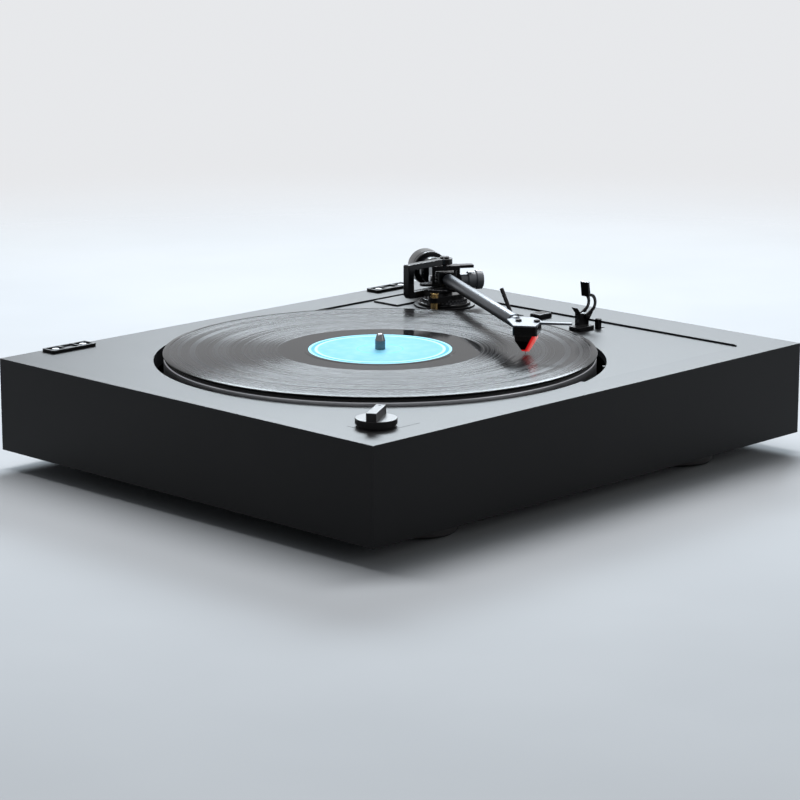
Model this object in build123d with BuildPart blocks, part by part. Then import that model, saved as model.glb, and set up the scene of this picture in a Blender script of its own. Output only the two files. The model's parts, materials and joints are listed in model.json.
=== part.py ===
"""Belt-driven turntable record player, as an assembly of separate pieces.

Frame: millimetres, +X to the right along the front, +Y to the back, +Z up. The origin is on
the surface that the feet stand on, under the middle of the plinth. The arm is drawn in play,
with its stylus on the record.
"""

import os
from math import acos, atan2, cos, degrees, radians, sin, sqrt, tan

from build123d import *

os.makedirs("parts", exist_ok=True)


def keep(builder, label):
    """Name a finished piece and write it to a STEP file of its own."""
    builder.part.label = label
    export_step(builder.part, f"parts/{label}.step")


# ---------------------------------------------------------------- driving dimensions
# Plinth
plinth_width = 430.0
plinth_depth = 365.0
plinth_height = 65.0
plinth_wall = 16.0
plinth_roof = 12.0
foot_height = 13.0
foot_radius = 25.0
foot_inset_x = 84.0
foot_inset_y = 42.5
cover_thickness = 3.0
cover_gap = 0.3
block_side = 12.0

# Platter stack
platter_radius = 150.0
platter_height = 20.0
platter_web = 8.0
platter_rim = 9.0
mat_radius = 148.0
mat_thickness = 2.0
record_radius = 150.6
record_thickness = 2.0
record_over_plinth = 5.4
label_radius = 50.0
well_gap = 7.0
spindle_from_left = 188.9
spindle_from_front = 181.3
spindle_radius = 3.57
spindle_over_record = 11.0

# Drive
sub_platter_radius = 62.0
belt_width = 4.0
belt_thickness = 0.6
belt_clearance = 0.15
pulley_radius = 6.0
pulley_height = 8.0
pulley_angle = 135.0
pulley_distance = 112.0
motor_radius = 18.0
motor_depth = 20.0
motor_shaft_radius = 1.2
bearing_shaft_radius = 5.0
running_gap = 0.03
chassis_thickness = 6.0
chassis_drop = 36.0
chassis_inset_side = 22.0
chassis_inset_front = 51.5

# Deck to the right of the platter
deck_drop = 1.3
deck_thickness = 5.0
deck_gap = 0.2
deck_ledge = 6.0
deck_corner = 8.0
deck_inset_right = 36.5
deck_inset_rear = 30.5
armboard_half_width = 29.3
armboard_depth = 25.0
armboard_sunk = 2.0
armboard_behind_pivot = 46.7

# Tonearm
pivot_spacing = 200.6
pivot_direction = 30.63
arm_length = 219.5
playing_radius = 101.8
arm_tilt = 1.0
pivot_height = 20.0
tube_radius = 4.6
tube_wall = 0.8
tube_start = 12.0
tube_end = 191.0
offset_angle = 24.0
head_thickness = 1.0
head_rise = 2.75
stylus_air = 0.25
base_radius = 20.0
turret_radius = 15.5
pillar_radius = 8.0
bracket_reach = 42.0
bracket_thickness = 6.0
bracket_floor = 9.0
bracket_top = 35.0
weight_radius = 13.5
lift_reach = 24.0
lift_angle = 205.0
lift_travel = 1.4
lever_swing = 58.0

# Controls
knob_inset_x = 38.7
knob_inset_y = 35.9
knob_radius = 13.35
knob_shaft_radius = 3.0
knob_turn = 31.0
lever_right_of_pivot = 10.49
lever_front_of_pivot = 63.8
slider_right_of_pivot = 14.6
slider_front_of_pivot = 85.2
rest_right_of_pivot = 0.99
rest_front_of_pivot = 136.8
switch_right_of_pivot = 13.0
switch_front_of_pivot = 142.4

# Dust-cover hinge sockets
socket_width = 39.0
socket_depth = 13.0
socket_height = 2.2
socket_inset_rear = 9.0
socket_inset_side = 54.5

# ---------------------------------------------------------------- places worked out from them
plinth_floor = foot_height
plinth_top = foot_height + plinth_height
roof_floor = plinth_top - plinth_roof
cavity_width = plinth_width - 2 * plinth_wall
cavity_depth = plinth_depth - 2 * plinth_wall
front_y = -plinth_depth / 2
rear_y = plinth_depth / 2
spindle_x = spindle_from_left - plinth_width / 2
spindle_y = spindle_from_front - plinth_depth / 2
well_radius = platter_radius + well_gap
record_top = plinth_top + record_over_plinth
record_floor = record_top - record_thickness
platter_top = record_floor - mat_thickness
platter_floor = platter_top - platter_height
web_floor = platter_top - platter_web
chassis_top = plinth_top - chassis_drop
chassis_floor = chassis_top - chassis_thickness
chassis_width = plinth_width - 2 * chassis_inset_side
chassis_depth = plinth_depth - 2 * chassis_inset_front

deck_top = plinth_top - deck_drop
deck_floor = deck_top - deck_thickness
deck_right = plinth_width / 2 - deck_inset_right
deck_rear = plinth_depth / 2 - deck_inset_rear
deck_front = spindle_y - well_radius
deck_left_front = spindle_x + 36.4
deck_left_rear = spindle_x + 66.0

pivot_x = spindle_x + pivot_spacing * cos(radians(pivot_direction))
pivot_y = spindle_y + pivot_spacing * sin(radians(pivot_direction))
pivot_z = plinth_top + pivot_height
lift_x = pivot_x + lift_reach * cos(radians(lift_angle))
lift_y = pivot_y + lift_reach * sin(radians(lift_angle))
lever_x = pivot_x + lever_right_of_pivot
lever_y = pivot_y - lever_front_of_pivot
slider_x = pivot_x + slider_right_of_pivot
slider_y = pivot_y - slider_front_of_pivot
rest_x = pivot_x + rest_right_of_pivot
rest_y = pivot_y - rest_front_of_pivot
switch_x = pivot_x + switch_right_of_pivot
switch_y = pivot_y - switch_front_of_pivot


def spindle_angle(groove_radius):
    """Angle at the arm's pivot between the spindle and a stylus at this groove radius, in degrees."""
    sides = arm_length**2 + pivot_spacing**2 - groove_radius**2
    return degrees(acos(sides / (2 * arm_length * pivot_spacing)))


arm_heading = pivot_direction + 180 + spindle_angle(playing_radius)
along_arm = Vector(cos(radians(arm_heading)), sin(radians(arm_heading)), 0)
up_tilt = Vector(0, 0, sin(radians(arm_tilt)))
arm_plane = Plane(
    origin=(pivot_x, pivot_y, pivot_z),
    x_dir=along_arm * cos(radians(arm_tilt)) + up_tilt,
    z_dir=Vector(0, 0, cos(radians(arm_tilt))) - along_arm * sin(radians(arm_tilt)),
)
yoke_plane = Plane(origin=(pivot_x, pivot_y, pivot_z), x_dir=along_arm, z_dir=(0, 0, 1))
head_height = pivot_z + arm_length * sin(radians(arm_tilt))
stylus_drop = (head_height - record_top - stylus_air) / cos(radians(arm_tilt))
head_origin = arm_plane.from_local_coords((arm_length, 0, 0))
head_plane = arm_plane.shift_origin(head_origin).rotated((0, 0, -offset_angle))
knob_x = knob_inset_x - plinth_width / 2
knob_y = knob_inset_y - plinth_depth / 2


def square_to(plane, distance, side=0.0, rise=0.0):
    """Plane square to another plane's X, this far along it; its own X is that plane's Y."""
    return Plane(
        origin=plane.from_local_coords((distance, side, rise)),
        x_dir=plane.y_dir,
        z_dir=plane.x_dir,
    )


def beside(plane, side, distance=0.0, rise=0.0):
    """Plane square to another plane's Y, this far to its left side; its own X is that plane's X."""
    return Plane(
        origin=plane.from_local_coords((distance, side, rise)),
        x_dir=plane.x_dir,
        z_dir=plane.y_dir,
    )


def deck_outline(shrink=0.0):
    """Plan of the recess to the right of the platter, drawn smaller by shrink all round."""
    Polygon(
        (deck_left_front + shrink, deck_front + shrink),
        (deck_right - shrink, deck_front + shrink),
        (deck_right - shrink, deck_rear - shrink),
        (deck_left_rear + shrink, deck_rear - shrink),
        (deck_left_rear + shrink, spindle_y),
        (deck_left_front + shrink, spindle_y),
        align=None,
    )


screw_head_radius = 2.8
screw_head_height = 1.6


def pan_screws(label, rows):
    """Pan-head screws, heads down; each row has their places, their seat's height and their length."""
    with BuildPart() as screws:
        for places, seat_z, length in rows:
            with BuildSketch(Plane.XY.offset(seat_z)):
                with Locations(*places):
                    Circle(screw_head_radius)
            extrude(amount=-screw_head_height)
            with BuildSketch(Plane.XY.offset(seat_z - screw_head_height)):
                with Locations(*places):
                    Circle(0.9)
            extrude(amount=0.7, mode=Mode.SUBTRACT)
            with BuildSketch(Plane.XY.offset(seat_z)):
                with Locations(*places):
                    Circle(screw_radius - 0.3)
            extrude(amount=length)
    keep(screws, label)


def cheese_screws(label, rows):
    """Slotted cheese-head screws; each row has their seat's plane, their places on it and their length."""
    with BuildPart() as screws:
        for seat, places, length in rows:
            with BuildSketch(seat):
                with Locations(*places):
                    Circle(2.4)
                    Rectangle(3.2, 0.6, mode=Mode.SUBTRACT)
            extrude(amount=0.9)
            with BuildSketch(seat):
                with Locations(*places):
                    Circle(screw_radius - 0.35)
            extrude(amount=-length)
    keep(screws, label)


# ---------------------------------------------------------------- plinth
terminal_x = 70.0 - plinth_width / 2
terminal_z = plinth_floor + 26.0
terminal_width = 112.0
terminal_height = 30.0
terminal_thickness = 2.0
terminal_lip = 5.0
terminal_recess = 12.0
standoff_radius = 5.0
standoff_x = plinth_width / 2 - 28.0
standoff_y = plinth_depth / 2 - 64.5
standoff_places = [(x, y) for x in (-standoff_x, standoff_x) for y in (-standoff_y, standoff_y)]
block_x = (cavity_width - block_side) / 2
block_y = (cavity_depth - block_side) / 2
block_places = [(x, y) for x in (-block_x, block_x) for y in (-block_y, block_y)]
knob_bush_radius = 4.5
knob_nut_radius = 7.0
knob_nut_thickness = 2.0
screw_radius = 1.5
socket_x = plinth_width / 2 - socket_inset_side
socket_y = plinth_depth / 2 - socket_inset_rear
socket_places = [(-socket_x, socket_y), (socket_x, socket_y)]
pocket_width = 10.6
pocket_pitch = 12.3
pocket_depth = 1.2
socket_screw_spacing = 2 * pocket_pitch

with BuildPart() as plinth:
    with BuildSketch(Plane.XY.offset(plinth_floor)):
        Rectangle(plinth_width, plinth_depth)
    extrude(amount=plinth_height)
    with BuildSketch(Plane.XY.offset(plinth_floor)):
        Rectangle(cavity_width, cavity_depth)
    extrude(amount=cover_thickness, mode=Mode.SUBTRACT)
    with BuildSketch(Plane.XY.offset(plinth_floor + cover_thickness)):
        Rectangle(cavity_width, cavity_depth)
        with Locations(*block_places):
            Rectangle(block_side, block_side, mode=Mode.SUBTRACT)
    extrude(amount=plinth_height - plinth_roof - cover_thickness, mode=Mode.SUBTRACT)
    # recess that the deck plate lies in, on a ledge round three sides
    with BuildSketch(Plane.XY.offset(plinth_top)) as recess_plan:
        deck_outline()
        fillet(recess_plan.vertices().sort_by(Axis.X)[-2:], deck_corner)
    extrude(amount=-(deck_drop + deck_thickness), mode=Mode.SUBTRACT)
    with BuildSketch(Plane.XY.offset(plinth_top)) as opening_plan:
        deck_outline(deck_ledge)
        with Locations((spindle_x, spindle_y)):
            Circle(well_radius)
    extrude(amount=-plinth_roof, mode=Mode.SUBTRACT)
    # hole for the speed switch's bush, with its nut sunk under the knob
    with Locations((knob_x, knob_y, plinth_top)):
        CounterBoreHole(knob_bush_radius + 0.1, knob_nut_radius + 1.0, knob_nut_thickness + 0.4, plinth_roof)
    # screw holes: hinge sockets, bottom cover and sub-chassis standoffs
    with Locations(*[(x, y, plinth_top) for x, y in socket_places]):
        with GridLocations(socket_screw_spacing, 1, 2, 1):
            Hole(screw_radius - 0.3, depth=8)
    with BuildSketch(Plane.XY.offset(plinth_floor + cover_thickness)):
        with Locations(*block_places):
            Circle(screw_radius)
    extrude(amount=14, mode=Mode.SUBTRACT)
    with BuildSketch(Plane.XY.offset(roof_floor)):
        with Locations(*standoff_places):
            Circle(screw_radius)
    extrude(amount=6, mode=Mode.SUBTRACT)
    # rear recess for the terminal plate, with a lip behind the plate
    rear_plane = Plane(origin=(terminal_x, rear_y, terminal_z), x_dir=(-1, 0, 0), z_dir=(0, 1, 0))
    with BuildSketch(rear_plane):
        Rectangle(terminal_width, terminal_height)
    extrude(amount=-terminal_recess - terminal_thickness, mode=Mode.SUBTRACT)
    with BuildSketch(rear_plane):
        Rectangle(terminal_width - 2 * terminal_lip, terminal_height - 2 * terminal_lip)
    extrude(amount=-plinth_wall, mode=Mode.SUBTRACT)
    with BuildSketch(rear_plane.offset(-terminal_recess)):
        with Locations((3.0 - terminal_width / 2, 0), (terminal_width / 2 - 3.0, 0)):
            Circle(screw_radius - 0.35)
    extrude(amount=-8.0, mode=Mode.SUBTRACT)
keep(plinth, "plinth")

foot_x = plinth_width / 2 - foot_inset_x
foot_y = plinth_depth / 2 - foot_inset_y
foot_places = {
    "front_left": (-foot_x, -foot_y),
    "front_right": (foot_x, -foot_y),
    "rear_left": (-foot_x, foot_y),
    "rear_right": (foot_x, foot_y),
}
vent_length = 60.0
vent_width = 5.0
vent_pitch = 14.0
board_x = terminal_x + 24.0
board_y = cavity_depth / 2 - 41.0
board_width = 84.0
board_depth = 44.0
board_thickness = 1.6
board_floor = plinth_floor + cover_thickness + 5.0
board_hole_x = board_width - 10.0
board_hole_y = board_depth - 10.0

with BuildPart() as bottom_cover:
    with BuildSketch(Plane.XY.offset(plinth_floor)):
        Rectangle(cavity_width - 2 * cover_gap, cavity_depth - 2 * cover_gap)
        with Locations(*block_places, *foot_places.values()):
            Circle(screw_radius + 0.2, mode=Mode.SUBTRACT)
        with GridLocations(1, vent_pitch, 1, 5):
            SlotOverall(vent_length, vent_width, mode=Mode.SUBTRACT)
    extrude(amount=cover_thickness)
    # bosses that carry the circuit board
    with BuildSketch(Plane.XY.offset(plinth_floor + cover_thickness)):
        with Locations((board_x, board_y)):
            with GridLocations(board_hole_x, board_hole_y, 2, 2):
                Circle(3.2)
    extrude(amount=board_floor - plinth_floor - cover_thickness)
keep(bottom_cover, "bottom_cover")

pad_radius = 19.0
pad_depth = 3.0
for corner, (x, y) in foot_places.items():
    with BuildPart() as foot:
        with BuildSketch(Plane.XY.offset(1.0)):
            with Locations((x, y)):
                Circle(foot_radius)
        extrude(amount=foot_height - 1.0)
        chamfer(foot.edges().filter_by(GeomType.CIRCLE).group_by(Axis.Z)[0], 1.5)
        with Locations((x, y, 1.0)):
            CounterBoreHole(screw_radius + 0.2, pad_radius + 0.1, pad_depth, foot_height)
    keep(foot, f"foot_{corner}")

with BuildPart() as foot_pads:
    with BuildSketch():
        with Locations(*foot_places.values()):
            Circle(pad_radius)
    extrude(amount=pad_depth + 0.9)
    with BuildSketch(Plane.XY.offset(pad_depth + 0.9)):
        with Locations(*foot_places.values()):
            Circle(screw_head_radius + 0.4)
    extrude(amount=-2.2, mode=Mode.SUBTRACT)
keep(foot_pads, "foot_pads")

# ---------------------------------------------------------------- deck, armboard and sockets
lever_slot_width = 4.0
lever_slot_length = 14.5
slider_slot = (13.0, 3.0)
switch_slot = (9.0, 2.2)
switch_slot_shift = 2.3
lift_hole_radius = 3.0
rest_half_x = 8.0
rest_half_y = 5.3
armboard_rear = pivot_y + armboard_behind_pivot

with BuildPart() as deck_plate:
    with BuildSketch(Plane.XY.offset(deck_floor)) as deck_plan:
        deck_outline(deck_gap)
        fillet(deck_plan.vertices().sort_by(Axis.X)[-2:], deck_corner - deck_gap)
        with Locations((spindle_x, spindle_y)):
            Circle(well_radius, mode=Mode.SUBTRACT)
        with Locations((pivot_x, pivot_y)):
            Circle(pillar_radius + 0.5, mode=Mode.SUBTRACT)
        with Locations((lever_x, lever_y)):
            SlotOverall(lever_slot_length, lever_slot_width, rotation=90, mode=Mode.SUBTRACT)
        with Locations((slider_x, slider_y)):
            Rectangle(*slider_slot, mode=Mode.SUBTRACT)
        with Locations((switch_x + switch_slot_shift, switch_y)):
            Rectangle(*switch_slot, mode=Mode.SUBTRACT)
        with Locations((rest_x, rest_y)):
            with GridLocations(2 * rest_half_x - 5, 1, 2, 1):
                Circle(screw_radius, mode=Mode.SUBTRACT)
        with Locations((lift_x, lift_y)):
            Circle(lift_hole_radius, mode=Mode.SUBTRACT)
    extrude(amount=deck_thickness)
    with BuildSketch(Plane.XY.offset(deck_top)) as pocket_plan:
        with Locations((pivot_x, armboard_rear - armboard_depth / 2)):
            Rectangle(2 * armboard_half_width + 2 * deck_gap, armboard_depth + 2 * deck_gap)
        with Locations((pivot_x, pivot_y)):
            Circle(base_radius + 3.0 + deck_gap)
    extrude(amount=-armboard_sunk, mode=Mode.SUBTRACT)
keep(deck_plate, "deck_plate")

with BuildPart() as armboard:
    with BuildSketch(Plane.XY.offset(deck_top - armboard_sunk)):
        with Locations((pivot_x, armboard_rear - armboard_depth / 2)):
            Rectangle(2 * armboard_half_width, armboard_depth)
        with Locations((pivot_x, pivot_y)):
            Circle(base_radius + 3.0)
            Circle(pillar_radius + 0.5, mode=Mode.SUBTRACT)
        with Locations((lift_x, lift_y)):
            Circle(lift_hole_radius, mode=Mode.SUBTRACT)
    extrude(amount=armboard_sunk + deck_drop)
keep(armboard, "armboard")

for side, place in zip(("left", "right"), socket_places):
    with BuildPart() as hinge_socket:
        with BuildSketch(Plane.XY.offset(plinth_top)):
            with Locations(place):
                Rectangle(socket_width, socket_depth)
        extrude(amount=socket_height)
        fillet(hinge_socket.edges().filter_by(Axis.Z), 1.5)
        # three pockets between ribs, the outer two over the screws
        with BuildSketch(Plane.XY.offset(plinth_top + socket_height)):
            with Locations(place):
                with GridLocations(pocket_pitch, 1, 3, 1):
                    Rectangle(pocket_width, socket_depth - 4.0)
        extrude(amount=-pocket_depth, mode=Mode.SUBTRACT)
        with BuildSketch(Plane.XY.offset(plinth_top)):
            with Locations(place):
                with GridLocations(socket_screw_spacing, 1, 2, 1):
                    Circle(screw_radius)
        extrude(amount=socket_height, mode=Mode.SUBTRACT)
    keep(hinge_socket, f"hinge_socket_{side}")

socket_screw_places = [
    (x + step * socket_screw_spacing, y) for x, y in socket_places for step in (-0.5, 0.5)
]

# ---------------------------------------------------------------- sub-chassis and platter bearing
housing_radius = 11.0
housing_floor = plinth_floor + cover_thickness + 2.0
housing_top = chassis_top + 4.0
bush_radius = 7.0
bush_length = 8.0
tip_radius = 2.5
pulley_x = spindle_x + pulley_distance * cos(radians(pulley_angle))
pulley_y = spindle_y + pulley_distance * sin(radians(pulley_angle))
motor_plate_side = 56.0
grommet_spacing = 44.0

with BuildPart() as sub_chassis:
    with BuildSketch(Plane.XY.offset(chassis_floor)) as chassis_plan:
        Rectangle(chassis_width, chassis_depth)
        fillet(chassis_plan.vertices(), 10)
        with Locations(*standoff_places):
            Circle(screw_radius + 0.2, mode=Mode.SUBTRACT)
        with Locations((spindle_x, spindle_y)):
            Circle(housing_radius + 0.1, mode=Mode.SUBTRACT)
        with Locations((pulley_x, pulley_y)):
            Circle(motor_radius + 2.0, mode=Mode.SUBTRACT)
            with PolarLocations(grommet_spacing / sqrt(2), 4, 45):
                Circle(3.0, mode=Mode.SUBTRACT)
    extrude(amount=chassis_thickness)
keep(sub_chassis, "sub_chassis")

with BuildPart() as standoffs:
    with BuildSketch(Plane.XY.offset(chassis_top)):
        with Locations(*standoff_places):
            RegularPolygon(standoff_radius, 6)
            Circle(screw_radius, mode=Mode.SUBTRACT)
    extrude(amount=roof_floor - chassis_top)
keep(standoffs, "chassis_standoffs")

with BuildPart() as bearing_housing:
    with BuildSketch(Plane.XY.offset(chassis_top)):
        with Locations((spindle_x, spindle_y)):
            Circle(25.0)
    extrude(amount=4.0)
    with BuildSketch(Plane.XY.offset(housing_floor)):
        with Locations((spindle_x, spindle_y)):
            Circle(housing_radius)
    extrude(amount=housing_top - housing_floor)
    with BuildSketch(Plane.XY.offset(housing_floor + 3.0)):
        with Locations((spindle_x, spindle_y)):
            Circle(bush_radius)
    extrude(amount=housing_top - housing_floor, mode=Mode.SUBTRACT)
keep(bearing_housing, "bearing_housing")

with BuildPart() as bearing_bushes:
    for level in (housing_floor + 9.0, housing_top - bush_length):
        with BuildSketch(Plane.XY.offset(level)):
            with Locations((spindle_x, spindle_y)):
                Circle(bush_radius)
                Circle(bearing_shaft_radius + running_gap, mode=Mode.SUBTRACT)
        extrude(amount=bush_length)
keep(bearing_bushes, "bearing_bushes")

pan_screws(
    "chassis_screws",
    [
        (block_places, plinth_floor, 14.0),
        (list(foot_places.values()), 1.0 + pad_depth, foot_height + cover_thickness - 4.0),
        (standoff_places, chassis_floor, chassis_thickness + 8.0),
    ],
)

# ---------------------------------------------------------------- platter and what turns with it
shaft_floor = housing_floor + 3.0
sub_platter_floor = housing_top + 1.5
sub_platter_top = sub_platter_floor + 10.0
hub_radius = 20.0
belt_floor = sub_platter_floor + 3.0
relief_length = 1.0

with BuildPart() as spindle_shaft:
    with BuildSketch(Plane.XZ.offset(-spindle_y)):
        with BuildLine():
            Polyline(
                (spindle_x + tip_radius, shaft_floor + tip_radius),
                (spindle_x + bearing_shaft_radius, shaft_floor + tip_radius),
                (spindle_x + bearing_shaft_radius, web_floor),
                (spindle_x + spindle_radius, web_floor),
                (spindle_x + spindle_radius, record_top - relief_length),
                (spindle_x + spindle_radius - 0.4, record_top - relief_length),
                (spindle_x + spindle_radius - 0.4, record_top),
                (spindle_x + spindle_radius, record_top),
                (spindle_x + spindle_radius, record_top + spindle_over_record - 5.0),
                (spindle_x + spindle_radius - 1.0, record_top + spindle_over_record - 1.2),
            )
            Polyline(
                (spindle_x + spindle_radius - 1.0, record_top + spindle_over_record - 1.2),
                (spindle_x + spindle_radius - 2.0, record_top + spindle_over_record - 0.3),
                (spindle_x, record_top + spindle_over_record),
            )
            Line((spindle_x, record_top + spindle_over_record), (spindle_x, shaft_floor))
            CenterArc((spindle_x, shaft_floor + tip_radius), tip_radius, -90, 90)
        make_face()
    revolve(axis=Axis((spindle_x, spindle_y, 0), (0, 0, 1)))
keep(spindle_shaft, "spindle_shaft")

with BuildPart() as sub_platter:
    with BuildSketch(Plane.XY.offset(sub_platter_floor)):
        with Locations((spindle_x, spindle_y)):
            Circle(sub_platter_radius + 1.5)
    extrude(amount=sub_platter_top - sub_platter_floor)
    # belt track between two low flanges
    with BuildSketch(Plane.XY.offset(belt_floor - 0.5)):
        with Locations((spindle_x, spindle_y)):
            Circle(sub_platter_radius + 1.5)
            Circle(sub_platter_radius, mode=Mode.SUBTRACT)
    extrude(amount=belt_width + 1.0, mode=Mode.SUBTRACT)
    with BuildSketch(Plane.XY.offset(sub_platter_top)):
        with Locations((spindle_x, spindle_y)):
            Circle(hub_radius)
    extrude(amount=web_floor - sub_platter_top)
    with BuildSketch(Plane.XY.offset(sub_platter_floor)):
        with Locations((spindle_x, spindle_y)):
            Circle(bearing_shaft_radius)
    extrude(amount=web_floor - sub_platter_floor, mode=Mode.SUBTRACT)
keep(sub_platter, "sub_platter")

with BuildPart() as platter:
    with BuildSketch(Plane.XY.offset(platter_floor)):
        with Locations((spindle_x, spindle_y)):
            Circle(platter_radius)
    extrude(amount=platter_height)
    with BuildSketch(Plane.XY.offset(platter_floor)):
        with Locations((spindle_x, spindle_y)):
            Circle(platter_radius - platter_rim)
    extrude(amount=platter_height - platter_web, mode=Mode.SUBTRACT)
    with BuildSketch(Plane.XY.offset(web_floor)):
        with Locations((spindle_x, spindle_y)):
            Circle(spindle_radius)
    extrude(amount=platter_web, mode=Mode.SUBTRACT)
    chamfer(platter.edges().filter_by(GeomType.CIRCLE).group_by(Axis.Z)[-1].sort_by(SortBy.RADIUS)[-1], 0.6)
keep(platter, "platter")

with BuildPart() as platter_mat:
    with BuildSketch(Plane.XY.offset(platter_top)):
        with Locations((spindle_x, spindle_y)):
            Circle(mat_radius)
            Circle(spindle_radius + 0.6, mode=Mode.SUBTRACT)
    extrude(amount=mat_thickness)
keep(platter_mat, "platter_mat")

label_thickness = 0.15
groove_outer = record_radius - 3.5
groove_depth = 0.15
with BuildPart() as record:
    with BuildSketch(Plane.XY.offset(record_floor)):
        with Locations((spindle_x, spindle_y)):
            Circle(record_radius)
            Circle(spindle_radius + 0.04, mode=Mode.SUBTRACT)
    extrude(amount=record_thickness)
    fillet(record.edges().filter_by(GeomType.CIRCLE).sort_by(SortBy.RADIUS)[-2:], 0.7)
    with BuildSketch(Plane.XY.offset(record_top)):
        with Locations((spindle_x, spindle_y)):
            Circle(groove_outer)
            Circle(label_radius + 3.0, mode=Mode.SUBTRACT)
    extrude(amount=-groove_depth, mode=Mode.SUBTRACT)
    with BuildSketch(Plane.XY.offset(record_top)):
        with Locations((spindle_x, spindle_y)):
            Circle(label_radius)
    extrude(amount=-label_thickness, mode=Mode.SUBTRACT)
keep(record, "record")

with BuildPart() as record_label:
    with BuildSketch(Plane.XY.offset(record_top - label_thickness)):
        with Locations((spindle_x, spindle_y)):
            Circle(label_radius)
            Circle(spindle_radius + 0.04, mode=Mode.SUBTRACT)
    extrude(amount=label_thickness)
keep(record_label, "record_label")

# ---------------------------------------------------------------- motor, pulley and belt
motor_plate_floor = chassis_top + 2.0
motor_plate_thickness = 2.0
motor_top = motor_plate_floor
motor_floor = motor_top - motor_depth

with BuildPart() as motor_grommets:
    with BuildSketch(Plane.XY.offset(chassis_top)):
        with Locations((pulley_x, pulley_y)):
            with PolarLocations(grommet_spacing / sqrt(2), 4, 45):
                Circle(5.0)
                Circle(1.6, mode=Mode.SUBTRACT)
    extrude(amount=motor_plate_floor - chassis_top)
    with BuildSketch(Plane.XY.offset(chassis_top)):
        with Locations((pulley_x, pulley_y)):
            with PolarLocations(grommet_spacing / sqrt(2), 4, 45):
                Circle(3.0)
                Circle(1.6, mode=Mode.SUBTRACT)
    extrude(amount=-chassis_thickness)
keep(motor_grommets, "motor_grommets")

with BuildPart() as motor:
    with BuildSketch(Plane.XY.offset(motor_plate_floor)) as motor_plate_plan:
        with Locations((pulley_x, pulley_y)):
            Rectangle(motor_plate_side, motor_plate_side)
        fillet(motor_plate_plan.vertices(), 6)
        with Locations((pulley_x, pulley_y)):
            with PolarLocations(grommet_spacing / sqrt(2), 4, 45):
                Circle(2.0, mode=Mode.SUBTRACT)
    extrude(amount=motor_plate_thickness)
    with BuildSketch(Plane.XY.offset(motor_floor)):
        with Locations((pulley_x, pulley_y)):
            Circle(motor_radius)
    extrude(amount=motor_depth)
    fillet(motor.edges().filter_by(GeomType.CIRCLE).group_by(Axis.Z)[0], 2)
    with BuildSketch(Plane.XY.offset(motor_plate_floor + motor_plate_thickness)):
        with Locations((pulley_x, pulley_y)):
            Circle(motor_shaft_radius + running_gap)
    extrude(amount=-(motor_depth - 1.0), mode=Mode.SUBTRACT)
keep(motor, "motor")

pulley_floor = belt_floor - (pulley_height - belt_width) / 2
with BuildPart() as motor_pulley:
    with BuildSketch(Plane.XY.offset(pulley_floor)):
        with Locations((pulley_x, pulley_y)):
            Circle(pulley_radius + 1.2)
    extrude(amount=pulley_height)
    with BuildSketch(Plane.XY.offset(belt_floor - 0.5)):
        with Locations((pulley_x, pulley_y)):
            Circle(pulley_radius + 1.2)
            Circle(pulley_radius, mode=Mode.SUBTRACT)
    extrude(amount=belt_width + 1.0, mode=Mode.SUBTRACT)
    with BuildSketch(Plane.XY.offset(pulley_floor)):
        with Locations((pulley_x, pulley_y)):
            Circle(motor_shaft_radius)
    extrude(amount=-(pulley_floor - motor_floor - 4.0))
keep(motor_pulley, "motor_pulley")


def belt_loop(standing_off):
    """Edges of the belt's path at this distance outside both wheels, ready to be hulled."""
    with Locations((spindle_x, spindle_y)):
        Circle(sub_platter_radius + standing_off)
    with Locations((pulley_x, pulley_y)):
        Circle(pulley_radius + standing_off)
    make_hull()


with BuildPart() as drive_belt:
    with BuildSketch(Plane.XY.offset(belt_floor)):
        belt_loop(belt_clearance + belt_thickness)
    extrude(amount=belt_width)
    with BuildSketch(Plane.XY.offset(belt_floor)):
        belt_loop(belt_clearance)
    extrude(amount=belt_width, mode=Mode.SUBTRACT)
keep(drive_belt, "drive_belt")

# ---------------------------------------------------------------- circuit board and rear terminals
board_top = board_floor + board_thickness
with BuildPart() as circuit_board:
    with BuildSketch(Plane.XY.offset(board_floor)):
        with Locations((board_x, board_y)):
            Rectangle(board_width, board_depth)
            with GridLocations(board_hole_x, board_hole_y, 2, 2):
                Circle(screw_radius, mode=Mode.SUBTRACT)
    extrude(amount=board_thickness)
    with BuildSketch(Plane.XY.offset(board_top)):
        with Locations((board_x - 8, board_y)):
            Rectangle(16, 9)
        with Locations((board_x - 10, board_y - 12)):
            Rectangle(9, 7)
    extrude(amount=2.4)
    with BuildSketch(Plane.XY.offset(board_top)):
        with Locations((board_x + 20, board_y + 8), (board_x + 30, board_y + 8), (board_x + 25, board_y - 4)):
            Circle(3.5)
    extrude(amount=7.0)
keep(circuit_board, "circuit_board")

terminal_face = rear_plane.offset(-terminal_recess)
phono_left_place = (2.0, 0.0)
phono_right_place = (-14.0, 0.0)
ground_place = (-32.0, 0.0)
inlet_place = (34.0, 0.0)
phono_radius = 4.15
inlet_side = 9.0
ground_radius = 2.0
terminal_screw_place = terminal_width / 2 - 3.0

with BuildPart() as terminal_plate:
    with BuildSketch(terminal_face.offset(-terminal_thickness)):
        Rectangle(terminal_width - 0.2, terminal_height - 0.2)
        with Locations(phono_left_place, phono_right_place):
            Circle(phono_radius, mode=Mode.SUBTRACT)
        with Locations(inlet_place):
            Rectangle(inlet_side, inlet_side + 2, mode=Mode.SUBTRACT)
        with Locations((-terminal_screw_place, 0), (terminal_screw_place, 0)):
            Circle(screw_radius, mode=Mode.SUBTRACT)
    extrude(amount=terminal_thickness)
    # earth post: a hexagon and a stud
    with BuildSketch(terminal_face):
        with Locations(ground_place):
            RegularPolygon(4.5, 6)
    extrude(amount=2.0)
    with BuildSketch(terminal_face):
        with Locations(ground_place):
            Circle(ground_radius)
    extrude(amount=11.0)
keep(terminal_plate, "terminal_plate")

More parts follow.
